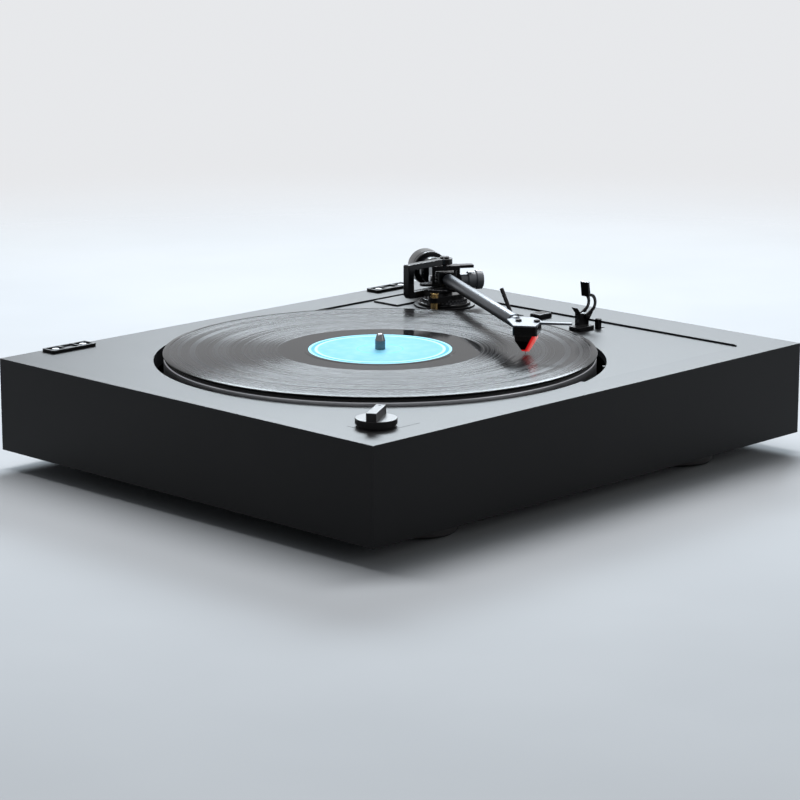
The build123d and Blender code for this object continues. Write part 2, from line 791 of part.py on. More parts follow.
cheese_screws(
    "cheese_head_screws",
    [
        (Plane.XY.offset(plinth_top + socket_height - pocket_depth), socket_screw_places, 7.0),
        (terminal_face, [(-terminal_screw_place, 0), (terminal_screw_place, 0)], 8.0),
    ],
)

with BuildPart() as phono_sockets:
    for place in (phono_left_place, phono_right_place):
        # metal shell with a collar
        with BuildSketch(terminal_face):
            with Locations(place):
                Circle(6.0)
                Circle(phono_radius, mode=Mode.SUBTRACT)
        extrude(amount=1.2)
        with BuildSketch(terminal_face.offset(-12.0)):
            with Locations(place):
                Circle(phono_radius)
                Circle(1.6, mode=Mode.SUBTRACT)
        extrude(amount=20.0)
        # the insulator stands back from the shell's rim
        with BuildSketch(terminal_face.offset(8.0)):
            with Locations(place):
                Circle(phono_radius - 0.7)
        extrude(amount=-0.8, mode=Mode.SUBTRACT)
keep(phono_sockets, "phono_sockets")

with BuildPart() as ground_nut:
    with BuildSketch(terminal_face.offset(3.0)):
        with Locations(ground_place):
            Circle(4.6)
            with PolarLocations(4.6, 20):
                Circle(0.35, mode=Mode.SUBTRACT)
            Circle(ground_radius + running_gap, mode=Mode.SUBTRACT)
    extrude(amount=5.0)
keep(ground_nut, "ground_nut")

with BuildPart() as power_inlet:
    with BuildSketch(terminal_face.offset(-12.0)):
        with Locations(inlet_place):
            Rectangle(inlet_side, inlet_side + 2)
    extrude(amount=13.0)
    with BuildSketch(terminal_face.offset(1.0)):
        with Locations(inlet_place):
            Circle(3.0)
            Circle(1.0, mode=Mode.SUBTRACT)
    extrude(amount=-9.0, mode=Mode.SUBTRACT)
keep(power_inlet, "power_inlet")

# ---------------------------------------------------------------- speed knob and its switch
knob_base = 1.7
knob_flange = 3.6
knob_lift = 0.1
bar_height = 5.5
bar_width = 6.6
knob_plane = Plane(
    origin=(knob_x, knob_y, plinth_top + knob_lift),
    x_dir=(cos(radians(knob_turn)), sin(radians(knob_turn)), 0),
    z_dir=(0, 0, 1),
)
flange_top = knob_base + knob_flange
knob_shaft_floor = roof_floor - 8.0

with BuildPart() as speed_knob:
    with BuildSketch(knob_plane):
        Circle(knob_radius - 1.0)
    extrude(amount=knob_base)
    with BuildSketch(knob_plane.offset(knob_base)):
        Circle(knob_radius)
    extrude(amount=knob_flange)
    fillet(speed_knob.edges().filter_by(GeomType.CIRCLE).group_by(Axis.Z)[-1], 0.4)
    with BuildSketch(knob_plane.offset(flange_top)):
        Rectangle(2 * knob_radius - 0.4, bar_width)
    extrude(amount=bar_height)
    fillet(speed_knob.faces().sort_by(Axis.Z)[-1].edges(), 0.5)
    with BuildSketch(knob_plane):
        Circle(knob_nut_radius + 1.0)
    extrude(amount=1.2, mode=Mode.SUBTRACT)
    with BuildSketch(Plane.XY.offset(knob_shaft_floor)):
        with Locations((knob_x, knob_y)):
            Circle(knob_shaft_radius)
    extrude(amount=plinth_top + 2.0 - knob_shaft_floor)
    # dimple that marks the setting, near the far end of the bar
    with BuildSketch(knob_plane.offset(flange_top + bar_height)):
        with Locations((knob_radius - 4.0, 0)):
            Circle(0.9)
    extrude(amount=-0.7, taper=30, mode=Mode.SUBTRACT)
keep(speed_knob, "speed_knob")

# ---------------------------------------------------------------- switches
switch_body = (20.0, 20.0, 14.0)
micro_switch = (13.0, 6.5, 6.0)
sensor_side = 2.6

with BuildPart() as switches:
    # rotary switch under the knob, with its bush and nut
    with BuildSketch(Plane.XY.offset(roof_floor)):
        with Locations((knob_x, knob_y)):
            Rectangle(switch_body[0], switch_body[1])
    extrude(amount=-switch_body[2])
    with BuildSketch(Plane.XY.offset(roof_floor)):
        with Locations((knob_x, knob_y)):
            Circle(knob_bush_radius)
    extrude(amount=plinth_roof - 0.2)
    with BuildSketch(Plane.XY.offset(plinth_top - knob_nut_thickness - 0.4)):
        with Locations((knob_x, knob_y)):
            RegularPolygon(knob_nut_radius, 6)
    extrude(amount=knob_nut_thickness)
    with BuildSketch(Plane.XY.offset(knob_shaft_floor - 0.3)):
        with Locations((knob_x, knob_y)):
            Circle(knob_shaft_radius + running_gap)
    extrude(amount=plinth_height, mode=Mode.SUBTRACT)
    # one small switch under the deck beside each slider's stem
    with BuildSketch(Plane.XY.offset(deck_floor)):
        with Locations((slider_x, slider_y + 6.0)):
            Rectangle(micro_switch[0], micro_switch[1])
        with Locations((switch_x - 6.0, switch_y)):
            Rectangle(micro_switch[1], micro_switch[0])
    extrude(amount=-micro_switch[2])
    # speed sensor that looks into the well under the deck's edge
    sensor_plane = Plane(origin=(spindle_x, spindle_y, deck_floor), x_dir=(0.687, -0.727, 0), z_dir=(0, 0, 1))
    with BuildSketch(sensor_plane):
        with Locations((well_radius + 1.0, 0)):
            Rectangle(7.0, sensor_side)
    extrude(amount=-4.5)
keep(switches, "switches")

# ---------------------------------------------------------------- sliders on the deck
slider_size = (13.7, 9.6, 3.5)
slider_stem = (8.0, 2.6)
slider_travel = 4.0
switch_size = (3.5, 3.5)
switch_height = 7.3
switch_stem = (4.0, 1.8)
switch_travel = 4.0
slide_gap = 0.1
stem_depth = deck_thickness + 3.0

with BuildPart() as start_slider:
    with BuildSketch(Plane.XY.offset(deck_top + slide_gap)):
        with Locations((slider_x, slider_y)):
            Rectangle(slider_size[0], slider_size[1])
    extrude(amount=slider_size[2])
    chamfer(start_slider.faces().sort_by(Axis.Z)[-1].edges(), 0.6)
    with BuildSketch(Plane.XY.offset(deck_top + slide_gap)):
        with Locations((slider_x + (slider_slot[0] - slider_stem[0]) / 2 - 0.3, slider_y)):
            Rectangle(slider_stem[0], slider_stem[1])
    extrude(amount=-stem_depth)
keep(start_slider, "start_slider")

with BuildPart() as size_switch:
    with BuildSketch(Plane.XY.offset(deck_top + slide_gap)):
        with Locations((switch_x, switch_y)):
            Rectangle(switch_size[0], switch_size[1])
    extrude(amount=switch_height)
    chamfer(size_switch.faces().sort_by(Axis.Z)[-1].edges(), 0.3)
    with BuildSketch(Plane.XY.offset(deck_top + slide_gap)):
        with Locations((switch_x, switch_y)):
            Rectangle(switch_stem[0], switch_stem[1])
    extrude(amount=-stem_depth)
keep(size_switch, "size_switch")

# ---------------------------------------------------------------- tonearm base and bracket
flange_thickness = 2.2
ring_thickness = 3.0
ring_radius = 17.5
pillar_length = 20.0
ear_radius = 4.4
ear_floor = 5.0
eye_radius = 6.0
bracket_arm = 5.1
bridge_thickness = 4.5
bracket_bevel = 2.6
pivot_screw_radius = 2.5
pivot_pin_radius = 1.5
yoke_floor = -5.6
yoke_top = 9.5
yoke_bar_floor = 6.0
yoke_foot = 1.8
yoke_half = 11.0
yoke_width = 9.0
cheek_thickness = 2.5
dial_stub_radius = 3.0
dial_start = 12.0
dial_drop = 2.6

with BuildPart() as arm_base:
    with BuildSketch(Plane.XY.offset(plinth_top)):
        with Locations((pivot_x, pivot_y)):
            Circle(base_radius)
    extrude(amount=flange_thickness)
    with BuildSketch(Plane.XY.offset(plinth_top)):
        with Locations((pivot_x, pivot_y)):
            Circle(turret_radius)
    extrude(amount=bracket_floor)
    # ear that holds the lift cylinder
    with BuildSketch(Plane.XY.offset(plinth_top + ear_floor)):
        with Locations((pivot_x, pivot_y)):
            Circle(turret_radius - 2)
        with Locations((lift_x, lift_y)):
            Circle(ear_radius)
        make_hull()
    extrude(amount=bracket_floor - ear_floor)
    with BuildSketch(Plane.XY.offset(plinth_top)):
        with Locations((pivot_x, pivot_y)):
            Circle(pillar_radius)
    extrude(amount=-pillar_length)
    with BuildSketch(Plane.XY.offset(plinth_top)):
        with Locations((lift_x, lift_y)):
            Circle(lift_hole_radius - 0.2)
    extrude(amount=bracket_floor, mode=Mode.SUBTRACT)
    base_rims = arm_base.edges().filter_by(GeomType.CIRCLE).filter_by(lambda e: e.radius == base_radius)
    chamfer(base_rims.sort_by(Axis.Z)[-1], 0.5)
keep(arm_base, "arm_base")

with BuildPart() as arm_nut:
    with BuildSketch(Plane.XY.offset(deck_floor)):
        with Locations((pivot_x, pivot_y)):
            RegularPolygon(15.0, 6)
            Circle(pillar_radius, mode=Mode.SUBTRACT)
    extrude(amount=-6.5)
keep(arm_nut, "arm_nut")

with BuildPart() as height_ring:
    with BuildSketch(Plane.XY.offset(plinth_top + flange_thickness)):
        with Locations((pivot_x, pivot_y)):
            Circle(ring_radius)
            Circle(turret_radius, mode=Mode.SUBTRACT)
            with PolarLocations(ring_radius + 0.15, 36):
                Circle(0.5, mode=Mode.SUBTRACT)
    extrude(amount=ear_floor - flange_thickness - 0.2)
keep(height_ring, "height_ring")

bracket_plane = Plane(origin=(pivot_x, pivot_y, plinth_top), x_dir=(1, 0, 0), z_dir=(0, -1, 0))
bridge_floor = bracket_top - bridge_thickness
with BuildPart() as arm_bracket:
    with BuildSketch(bracket_plane):
        with BuildLine():
            Polyline(
                (0, bracket_floor),
                (0, bracket_floor + bracket_arm),
                (bracket_thickness - bracket_reach, bracket_floor + bracket_arm),
                (bracket_thickness - bracket_reach, bridge_floor),
                (0, bridge_floor),
                (0, bracket_top),
                (1.0 - bracket_reach, bracket_top),
                (-bracket_reach, bracket_top - 1.0),
                (-bracket_reach, bracket_floor + bracket_bevel),
                (bracket_bevel - bracket_reach, bracket_floor),
                close=True,
            )
        make_face()
    extrude(amount=bracket_thickness / 2, both=True)
    for level, height in ((bracket_floor, bracket_arm), (bridge_floor, bridge_thickness)):
        with BuildSketch(Plane.XY.offset(plinth_top + level)):
            with Locations((pivot_x, pivot_y)):
                Circle(eye_radius)
        extrude(amount=height)
    with BuildSketch(Plane.XY.offset(plinth_top + bracket_floor)):
        with Locations((pivot_x, pivot_y)):
            Circle(pivot_screw_radius)
    extrude(amount=bracket_top, mode=Mode.SUBTRACT)
keep(arm_bracket, "arm_bracket")

with BuildPart() as pivot_screws:
    with BuildSketch(Plane.XY.offset(plinth_top + bracket_top)):
        with Locations((pivot_x, pivot_y)):
            Circle(3.4)
            Rectangle(7.0, 0.8, rotation=35, mode=Mode.SUBTRACT)
    extrude(amount=1.3)
    for level, height in ((bracket_floor, bracket_arm), (bridge_floor, bridge_thickness)):
        with BuildSketch(Plane.XY.offset(plinth_top + level)):
            with Locations((pivot_x, pivot_y)):
                Circle(pivot_screw_radius)
        extrude(amount=height)
    # the points that the yoke turns on
    with BuildSketch(Plane.XY.offset(plinth_top + bridge_floor)):
        with Locations((pivot_x, pivot_y)):
            Circle(pivot_pin_radius)
    extrude(amount=-(bridge_floor - pivot_height - yoke_bar_floor - 0.3))
    with BuildSketch(Plane.XY.offset(plinth_top + bracket_floor + bracket_arm)):
        with Locations((pivot_x, pivot_y)):
            Circle(pivot_pin_radius)
    extrude(amount=pivot_height + yoke_floor + yoke_foot - 0.1 - bracket_floor - bracket_arm)
keep(pivot_screws, "pivot_screws")

# ---------------------------------------------------------------- yoke, side pivots and force dial
dial_plane = yoke_plane.offset(-dial_drop)

with BuildPart() as arm_yoke:
    with BuildSketch(yoke_plane.offset(yoke_bar_floor)):
        Rectangle(yoke_width, 2 * yoke_half)
        Circle(5.0)
    extrude(amount=yoke_top - yoke_bar_floor)
    # tongue over the force dial
    with BuildSketch(yoke_plane.offset(yoke_top - 2.2)):
        with Locations((0, yoke_half + 5.5)):
            Rectangle(yoke_width - 2, 11.2)
    extrude(amount=2.2)
    with BuildSketch(yoke_plane.offset(yoke_floor)):
        with Locations((0, yoke_half - cheek_thickness / 2), (0, cheek_thickness / 2 - yoke_half)):
            Rectangle(yoke_width, cheek_thickness)
    extrude(amount=yoke_top - yoke_floor)
    with BuildSketch(yoke_plane.offset(yoke_floor)):
        Rectangle(yoke_width - 1, 2 * yoke_half)
        Circle(5.0)
        with Locations((0, -yoke_half)):
            Ellipse(5.0, 8.4)
    extrude(amount=yoke_foot)
    with BuildSketch(beside(dial_plane, yoke_half)):
        Circle(dial_stub_radius)
    extrude(amount=17.5)
    with BuildSketch(beside(yoke_plane, -yoke_half)):
        Circle(pivot_pin_radius)
    extrude(amount=2 * yoke_half, mode=Mode.SUBTRACT)
    with BuildSketch(yoke_plane.offset(yoke_floor)):
        Circle(pivot_pin_radius + running_gap)
    extrude(amount=yoke_top - yoke_floor, mode=Mode.SUBTRACT)
keep(arm_yoke, "arm_yoke")

block_half = 7.3
side_pin_depth = 3.2
with BuildPart() as side_pivots:
    for sense in (-1, 1):
        with BuildSketch(beside(yoke_plane, sense * (block_half - side_pin_depth))):
            Circle(pivot_pin_radius)
        extrude(amount=sense * (yoke_half - block_half + side_pin_depth))
    with BuildSketch(beside(yoke_plane, -yoke_half)):
        Circle(2.5)
        Rectangle(5.2, 0.6, rotation=40, mode=Mode.SUBTRACT)
    extrude(amount=-0.8)
keep(side_pivots, "side_pivots")

dial_section = Plane(
    origin=dial_plane.origin,
    x_dir=yoke_plane.y_dir,
    z_dir=yoke_plane.x_dir,
)
with BuildPart() as force_dial:
    with BuildSketch(dial_section):
        with BuildLine():
            Polyline(
                (dial_start, dial_stub_radius + 0.05),
                (dial_start, 5.0),
                (dial_start + 5.5, 5.0),
                (dial_start + 6.0, 6.5),
                (dial_start + 12.0, 6.5),
                (dial_start + 12.6, 7.3),
                (dial_start + 17.0, 7.3),
                (dial_start + 17.4, 6.0),
                (dial_start + 17.8, 6.0),
                (dial_start + 17.8, 0),
                (dial_start + 16.8, 0),
                (dial_start + 16.8, dial_stub_radius + 0.05),
                close=True,
            )
        make_face()
    revolve(axis=Axis(dial_plane.origin, dial_plane.y_dir))
    # knurling on the middle barrel
    with BuildSketch(beside(dial_plane, dial_start + 6.0)):
        with PolarLocations(6.6, 30):
            Circle(0.35)
    extrude(amount=6.0, mode=Mode.SUBTRACT)
keep(force_dial, "force_dial")

# ---------------------------------------------------------------- arm: block, tube, headshell, cartridge
block_floor = -3.2
block_top = 5.0
block_rear = -6.0
block_front = 9.0
neck_radius = 3.2
tube_bore = tube_radius - tube_wall
plug_length = 8.0
stub_radius = 4.0
stub_length = 62.0

with BuildPart() as gimbal_block:
    with BuildSketch(arm_plane.offset(block_floor)) as block_plan:
        with Locations(((block_front + block_rear) / 2, 0)):
            Rectangle(block_front - block_rear, 2 * block_half)
        fillet(block_plan.vertices(), 1.2)
    extrude(amount=block_top - block_floor)
    with BuildSketch(square_to(arm_plane, block_front - 1)):
        Circle(neck_radius)
    extrude(amount=tube_start - block_front + 1)
    with BuildSketch(square_to(arm_plane, tube_start)):
        Circle(tube_bore)
    extrude(amount=plug_length)
    with BuildSketch(square_to(arm_plane, block_rear)):
        Circle(stub_radius)
    extrude(amount=-stub_length)
    for sense in (-1, 1):
        with BuildSketch(beside(arm_plane, sense * block_half)):
            Circle(pivot_pin_radius + running_gap)
        extrude(amount=-sense * (side_pin_depth + 0.3), mode=Mode.SUBTRACT)
keep(gimbal_block, "gimbal_block")

with BuildPart() as arm_tube:
    with BuildSketch(square_to(arm_plane, tube_start)):
        Circle(tube_radius)
        Circle(tube_bore, mode=Mode.SUBTRACT)
    extrude(amount=tube_end - tube_start)
keep(arm_tube, "arm_tube")

head_floor = head_rise - head_thickness
head_screw_fwd = -9.5
head_screw_spacing = 12.7
head_slot_width = 2.5
lift_bar_rear = -12.5
lift_bar_depth = 4.0

with BuildPart() as headshell:
    with BuildSketch(head_plane.offset(head_floor)):
        Polygon(
            (7.6, -7.6),
            (7.6, 7.6),
            (-6.0, 8.8),
            (-15.0, 8.8),
            (-22.0, 5.5),
            (-27.0, 1.0),
            (-25.0, -9.0),
            (-17.0, -15.5),
            align=None,
        )
        with Locations((head_screw_fwd, 0)):
            with GridLocations(1, head_screw_spacing, 1, 2):
                SlotOverall(7.0, head_slot_width, mode=Mode.SUBTRACT)
    extrude(amount=head_thickness)
    with BuildSketch(square_to(arm_plane, tube_end - 7)):
        Circle(tube_bore)
    extrude(amount=arm_length - 22.3 - tube_end + 7)
    # finger lift: a thin bar to the left, nearly flat
    with BuildSketch(square_to(head_plane, lift_bar_rear)):
        with BuildLine():
            Polyline((8.0, 1.75), (8.7, 1.75), (9.2, 0.9), (30.5, 1.2))
            Polyline((30.5, 1.2), (30.5, 2.6), (8.0, 2.6), (8.0, 1.75))
        make_face()
    extrude(amount=lift_bar_depth)
keep(headshell, "headshell")

screw_shank = 1.2
head_screw_places = [(head_screw_fwd, side * head_screw_spacing / 2) for side in (-1, 1)]
with BuildPart() as head_screws:
    with BuildSketch(head_plane.offset(head_rise)):
        with Locations(*head_screw_places):
            Circle(2.2)
            Rectangle(4.6, 0.6, rotation=70, mode=Mode.SUBTRACT)
    extrude(amount=1.4)
    with BuildSketch(head_plane.offset(head_rise)):
        with Locations(*head_screw_places):
            Circle(screw_shank)
    extrude(amount=-(head_thickness + 3.0))
keep(head_screws, "head_screws")

cartridge_height = 6.5
cartridge_width = 17.0
cartridge_rear = -19.0
cartridge_front = 6.0
with BuildPart() as cartridge_body:
    with BuildSketch(head_plane.offset(head_floor)) as cartridge_plan:
        with Locations(((cartridge_front + cartridge_rear) / 2, 0)):
            Rectangle(cartridge_front - cartridge_rear, cartridge_width)
        fillet(cartridge_plan.vertices(), 1.2)
    extrude(amount=-cartridge_height)
    with BuildSketch(head_plane.offset(head_floor)):
        with Locations(*head_screw_places):
            Circle(screw_shank)
    extrude(amount=-3.2, mode=Mode.SUBTRACT)
    # four contact pins at the rear
    with BuildSketch(square_to(head_plane, cartridge_rear, 0, head_floor - cartridge_height / 2)):
        with GridLocations(5.0, 2.2, 2, 2):
            Circle(0.6)
    extrude(amount=-3.0)
keep(cartridge_body, "cartridge_body")

unit_top = head_floor - cartridge_height
unit_drop = 11.6
with BuildPart() as stylus_unit:
    with BuildSketch(head_plane.offset(unit_top)):
        with Locations((-4.0, 0)):
            Rectangle(17.0, 15.0)
    with BuildSketch(head_plane.offset(unit_top - unit_drop * 0.35)):
        with Locations((-4.0, 0)):
            Rectangle(16.0, 14.0)
    with BuildSketch(head_plane.offset(unit_top - unit_drop)):
        with Locations((-4.0, 0)):
            Rectangle(9.0, 5.0)
    loft(ruled=True)
keep(stylus_unit, "stylus_unit")

unit_floor = unit_top - unit_drop
tip_length = 0.9
cantilever_rear = (-6.0, unit_floor + 0.4)
cantilever_front = (0.4, tip_length * 0.6 - stylus_drop)
run = cantilever_front[0] - cantilever_rear[0]
fall = cantilever_front[1] - cantilever_rear[1]
rod_plane = Plane(
    origin=head_plane.from_local_coords((cantilever_rear[0], 0, cantilever_rear[1])),
    x_dir=head_plane.y_dir,
    z_dir=head_plane.x_dir * run + head_plane.z_dir * fall,
)
with BuildPart() as cantilever:
    with BuildSketch(rod_plane):
        Circle(0.35)
    extrude(amount=sqrt(run**2 + fall**2))
    split(bisect_by=head_plane.offset(unit_floor), keep=Keep.BOTTOM)
    with BuildSketch(head_plane.offset(tip_length - stylus_drop)):
        Circle(0.3)
    extrude(amount=-tip_length, taper=15)
keep(cantilever, "cantilever")

# ---------------------------------------------------------------- counterweight on its carrier
carrier_radius = 5.5
carrier_front = -34.0
carrier_length = 22.0
weight_front = -42.0
weight_length = 20.0
collar_radius = 10.5
collar_length = 12.0

with BuildPart() as weight_carrier:
    with BuildSketch(square_to(arm_plane, carrier_front)):
        Circle(carrier_radius)
        Circle(stub_radius + 0.05, mode=Mode.SUBTRACT)
    extrude(amount=-carrier_length)
keep(weight_carrier, "weight_carrier")

with BuildPart() as counterweight:
    with BuildSketch(square_to(arm_plane, weight_front + collar_length)):
        Circle(collar_radius)
    extrude(amount=-collar_length)
    with BuildSketch(square_to(arm_plane, weight_front)):
        Circle(weight_radius)
    extrude(amount=-weight_length)
    weight_circles = counterweight.edges().filter_by(GeomType.CIRCLE)
    fillet(weight_circles.filter_by(lambda e: abs(e.radius - weight_radius) < 0.01), 0.8)
    with BuildSketch(square_to(arm_plane, weight_front + collar_length)):
        Circle(carrier_radius + running_gap)
    extrude(amount=carrier_front - carrier_length - 1.0 - weight_front - collar_length, mode=Mode.SUBTRACT)
    with BuildSketch(square_to(arm_plane, weight_front + collar_length)):
        Circle(stub_radius + 0.3)
    extrude(amount=-(collar_length + weight_length), mode=Mode.SUBTRACT)
keep(counterweight, "counterweight")

# ---------------------------------------------------------------- arm lift
lift_rod_radius = 1.5
cylinder_radius = 3.3
cylinder_height = 3.5
platform_floor = 13.4
platform_thickness = 1.6
platform_inner = 22.0
platform_outer = 27.0
platform_start = lift_angle - 10.0
platform_sweep = 77.0
lever_drop = 8.7
lever_z = deck_top - lever_drop
lever_lean = lever_swing / 2
lever_length = 30.5
lever_radius = 1.5
crank_length = 17.0
strip_floor = plinth_top - 26.0
strip_thickness = 2.0
strip_top = strip_floor + strip_thickness
strip_half = 4.0
strip_reach = lever_z - strip_floor - strip_thickness / 2
strip_travel = 2 * strip_reach * tan(radians(lever_lean))
ramp_slope = lift_travel / strip_travel

with BuildPart() as lift_cylinder:
    with BuildSketch(Plane.XY.offset(plinth_top + bracket_floor)):
        with Locations((lift_x, lift_y)):
            Circle(cylinder_radius)
    extrude(amount=cylinder_height)
    with BuildSketch(Plane.XY.offset(plinth_top + bracket_floor + 1.4)):
        with Locations((lift_x, lift_y)):
            Circle(cylinder_radius)
            Circle(cylinder_radius - 0.5, mode=Mode.SUBTRACT)
    extrude(amount=0.8, mode=Mode.SUBTRACT)
    with BuildSketch(Plane.XY.offset(plinth_top + bracket_floor)):
        with Locations((lift_x, lift_y)):
            Circle(lift_hole_radius - 0.2)
    extrude(amount=-(bracket_floor + 16.0))
    with BuildSketch(Plane.XY.offset(plinth_top - 16.0)):
        with Locations((lift_x, lift_y)):
            Circle(lift_rod_radius + running_gap)
    extrude(amount=plinth_height, mode=Mode.SUBTRACT)
keep(lift_cylinder, "lift_cylinder")

with BuildPart() as lift_platform:
    with BuildSketch(Plane.XY.offset(plinth_top + platform_floor)):
        with BuildLine():
            outer_arc = CenterArc((pivot_x, pivot_y), platform_outer, platform_start, platform_sweep)
            inner_arc = CenterArc((pivot_x, pivot_y), platform_inner, platform_start, platform_sweep)
            Line(outer_arc @ 0, inner_arc @ 0)
            Line(outer_arc @ 1, inner_arc @ 1)
        make_face()
    extrude(amount=platform_thickness)
    with BuildSketch(Plane.XY.offset(plinth_top + platform_floor)):
        with Locations((lift_x, lift_y)):
            Circle(lift_rod_radius)
    extrude(amount=-(plinth_top + platform_floor - strip_top - 0.45))
keep(lift_platform, "lift_platform")

lever_plane = Plane(origin=(lever_x, lever_y, lever_z), x_dir=(0, 1, 0), z_dir=(1, 0, 0))
lever_lean_vector = Vector(0, sin(radians(lever_lean)), cos(radians(lever_lean)))
stick_plane = Plane(origin=lever_plane.origin, x_dir=(1, 0, 0), z_dir=lever_lean_vector)
with BuildPart() as lift_lever:
    with BuildSketch(lever_plane):
        Circle(3.0)
    extrude(amount=2.0, both=True)
    with BuildSketch(stick_plane):
        Circle(lever_radius)
    extrude(amount=lever_length)
    fillet(lift_lever.edges().sort_by(Axis.Z)[-1], 0.4)
    with BuildSketch(stick_plane):
        Circle(lever_radius)
    extrude(amount=-crank_length)
    with BuildSketch(lever_plane):
        Circle(1.0 + running_gap)
    extrude(amount=2.0, both=True, mode=Mode.SUBTRACT)
keep(lift_lever, "lift_lever")

guide_places = [(lever_x, lever_y - 30.0), (lever_x, lever_y + 15.8)]
guide_half = 7.0
guide_length = 5.0
with BuildPart() as lift_guides:
    # fork that the lever turns in, with its pin
    with BuildSketch(Plane.XY.offset(deck_floor)):
        with Locations((lever_x - 3.3, lever_y), (lever_x + 3.3, lever_y)):
            Rectangle(2.0, 6.0)
    extrude(amount=-(deck_floor - lever_z + 3.5))
    with BuildSketch(lever_plane.offset(-4.3)):
        Circle(1.0)
    extrude(amount=8.6)
    # two hangers that the cam strip slides through
    with BuildSketch(Plane.XY.offset(deck_floor)):
        with Locations(*guide_places):
            Rectangle(2 * guide_half, guide_length)
    extrude(amount=-(deck_floor - strip_floor + 2.5))
    with BuildSketch(Plane.XY.offset(strip_top + 0.3)):
        with Locations(*guide_places):
            Rectangle(2 * strip_half + 0.6, guide_length)
    extrude(amount=-(strip_thickness + 0.6), mode=Mode.SUBTRACT)
keep(lift_guides, "lift_guides")

crank_rest_y = lever_y - strip_reach * tan(radians(lever_lean))
with BuildPart() as cam_strip:
    with BuildSketch(Plane.XY.offset(strip_floor)):
        Polygon(
            (lever_x - strip_half, lever_y - 55.0),
            (lever_x + strip_half, lever_y - 55.0),
            (lever_x + strip_half, lift_y + 4.0),
            (lift_x - 5.0, lift_y + 4.0),
            (lift_x - 5.0, lift_y - strip_travel - 4.0),
            (lever_x - strip_half, lift_y - strip_travel - 4.0),
            align=None,
        )
        with Locations((lever_x, crank_rest_y)):
            Rectangle(4.0, 6.4, mode=Mode.SUBTRACT)
    extrude(amount=strip_thickness)
    # ramp under the lift rod
    with BuildSketch(Plane(origin=(lift_x - 4.0, 0, 0), x_dir=(0, 1, 0), z_dir=(1, 0, 0))):
        ramp_end = strip_travel + 2.0
        Polygon(
            (lift_y, strip_top - 0.5),
            (lift_y, strip_top),
            (lift_y - ramp_end, strip_top + ramp_end * ramp_slope),
            (lift_y - ramp_end, strip_top - 0.5),
            align=None,
        )
    extrude(amount=8.0)
keep(cam_strip, "cam_strip")

# ---------------------------------------------------------------- arm rest and its clip
rest_base = 3.0
rest_thick = 4.6
rest_set_back = 1.5
parked_rise = 15.8
clip_x = 5.0
clip_rise = 8.2
clip_pin_radius = 1.2
clip_pin_half = 4.0
clip_hub_radius = 2.4
clip_inner = 5.0
clip_outer = 7.1
clip_open = 50.0
rib_gap = 0.2
rib_width = 1.1
tab_angle = 148.0
tab_thickness = 1.8
tab_end = 16.0
park_x = pivot_x - rest_x
post_y = rest_y + rest_set_back
rib_middle = rest_thick / 2 + rib_gap + rib_width / 2
rib_outside = rib_middle + rib_width / 2
rest_plane = Plane(origin=(rest_x, post_y, plinth_top), x_dir=(1, 0, 0), z_dir=(0, -1, 0))

with BuildPart() as arm_rest:
    with BuildSketch(Plane.XY.offset(deck_top)):
        with Locations((rest_x, rest_y)):
            Rectangle(2 * rest_half_x, 2 * rest_half_y)
    extrude(amount=rest_base)
    # post with a prong to the left of the parked tube
    with BuildSketch(rest_plane):
        Polygon(
            (park_x - 6.4, parked_rise + 0.1),
            (park_x - 4.5, parked_rise - 0.3),
            (park_x - 0.6, parked_rise - 4.8),
            (park_x + 1.2, parked_rise - 5.0),
            (clip_x - 1.5, clip_rise + 1.87),
            (clip_x + 2.2, clip_rise),
            (clip_x + 2.2, rest_base - deck_drop - 0.2),
            (-3.3, rest_base - deck_drop - 0.2),
            (-3.3, parked_rise - 4.8),
            align=None,
        )
        with Locations((clip_x, clip_rise)):
            Circle(clip_hub_radius)
    extrude(amount=rest_thick / 2, both=True)
    # pin that the clip turns on
    with BuildSketch(rest_plane):
        with Locations((clip_x, clip_rise)):
            Circle(clip_pin_radius)
    extrude(amount=clip_pin_half, both=True)
keep(arm_rest, "arm_rest")

hinge_plane = Plane(
    origin=(rest_x + clip_x, post_y, plinth_top + clip_rise),
    x_dir=(cos(radians(clip_open)), 0, -sin(radians(clip_open))),
    z_dir=(0, -1, 0),
)
ring_x = park_x - clip_x
ring_z = parked_rise - clip_rise
ring_start = -10.0
ring_sweep = 160.0
ring_middle = (clip_inner + clip_outer) / 2
ring_foot = (
    ring_x + ring_middle * cos(radians(ring_start)),
    ring_z + ring_middle * sin(radians(ring_start)),
)
tab_plane = Plane(
    origin=hinge_plane.from_local_coords((ring_x, ring_z, 0)),
    x_dir=hinge_plane.z_dir,
    z_dir=hinge_plane.x_dir * cos(radians(tab_angle)) + hinge_plane.y_dir * sin(radians(tab_angle)),
)
with BuildPart() as rest_clip:
    # two ribs, one on each side of the post, each from the pin up round the tube
    for side in (-1, 1):
        with BuildSketch(hinge_plane.offset(side * rib_middle)):
            Circle(clip_hub_radius)
            with Locations(ring_foot):
                Circle((clip_outer - clip_inner) / 2)
            make_hull()
        extrude(amount=rib_width / 2, both=True)
        with BuildSketch(hinge_plane.offset(side * rib_middle)):
            with BuildLine():
                outer_rib = CenterArc((ring_x, ring_z), clip_outer, ring_start, ring_sweep)
                inner_rib = CenterArc((ring_x, ring_z), clip_inner, ring_start, ring_sweep)
                Line(outer_rib @ 0, inner_rib @ 0)
                Line(outer_rib @ 1, inner_rib @ 1)
            make_face()
        extrude(amount=rib_width / 2, both=True)
    # finger tab that joins the ribs
    with BuildSketch(tab_plane.offset(clip_inner)):
        Rectangle(2 * rib_outside, tab_thickness)
    extrude(amount=tab_end - clip_inner)
    with BuildSketch(hinge_plane):
        Circle(clip_pin_radius + running_gap)
    extrude(amount=clip_pin_half, both=True, mode=Mode.SUBTRACT)
keep(rest_clip, "rest_clip")
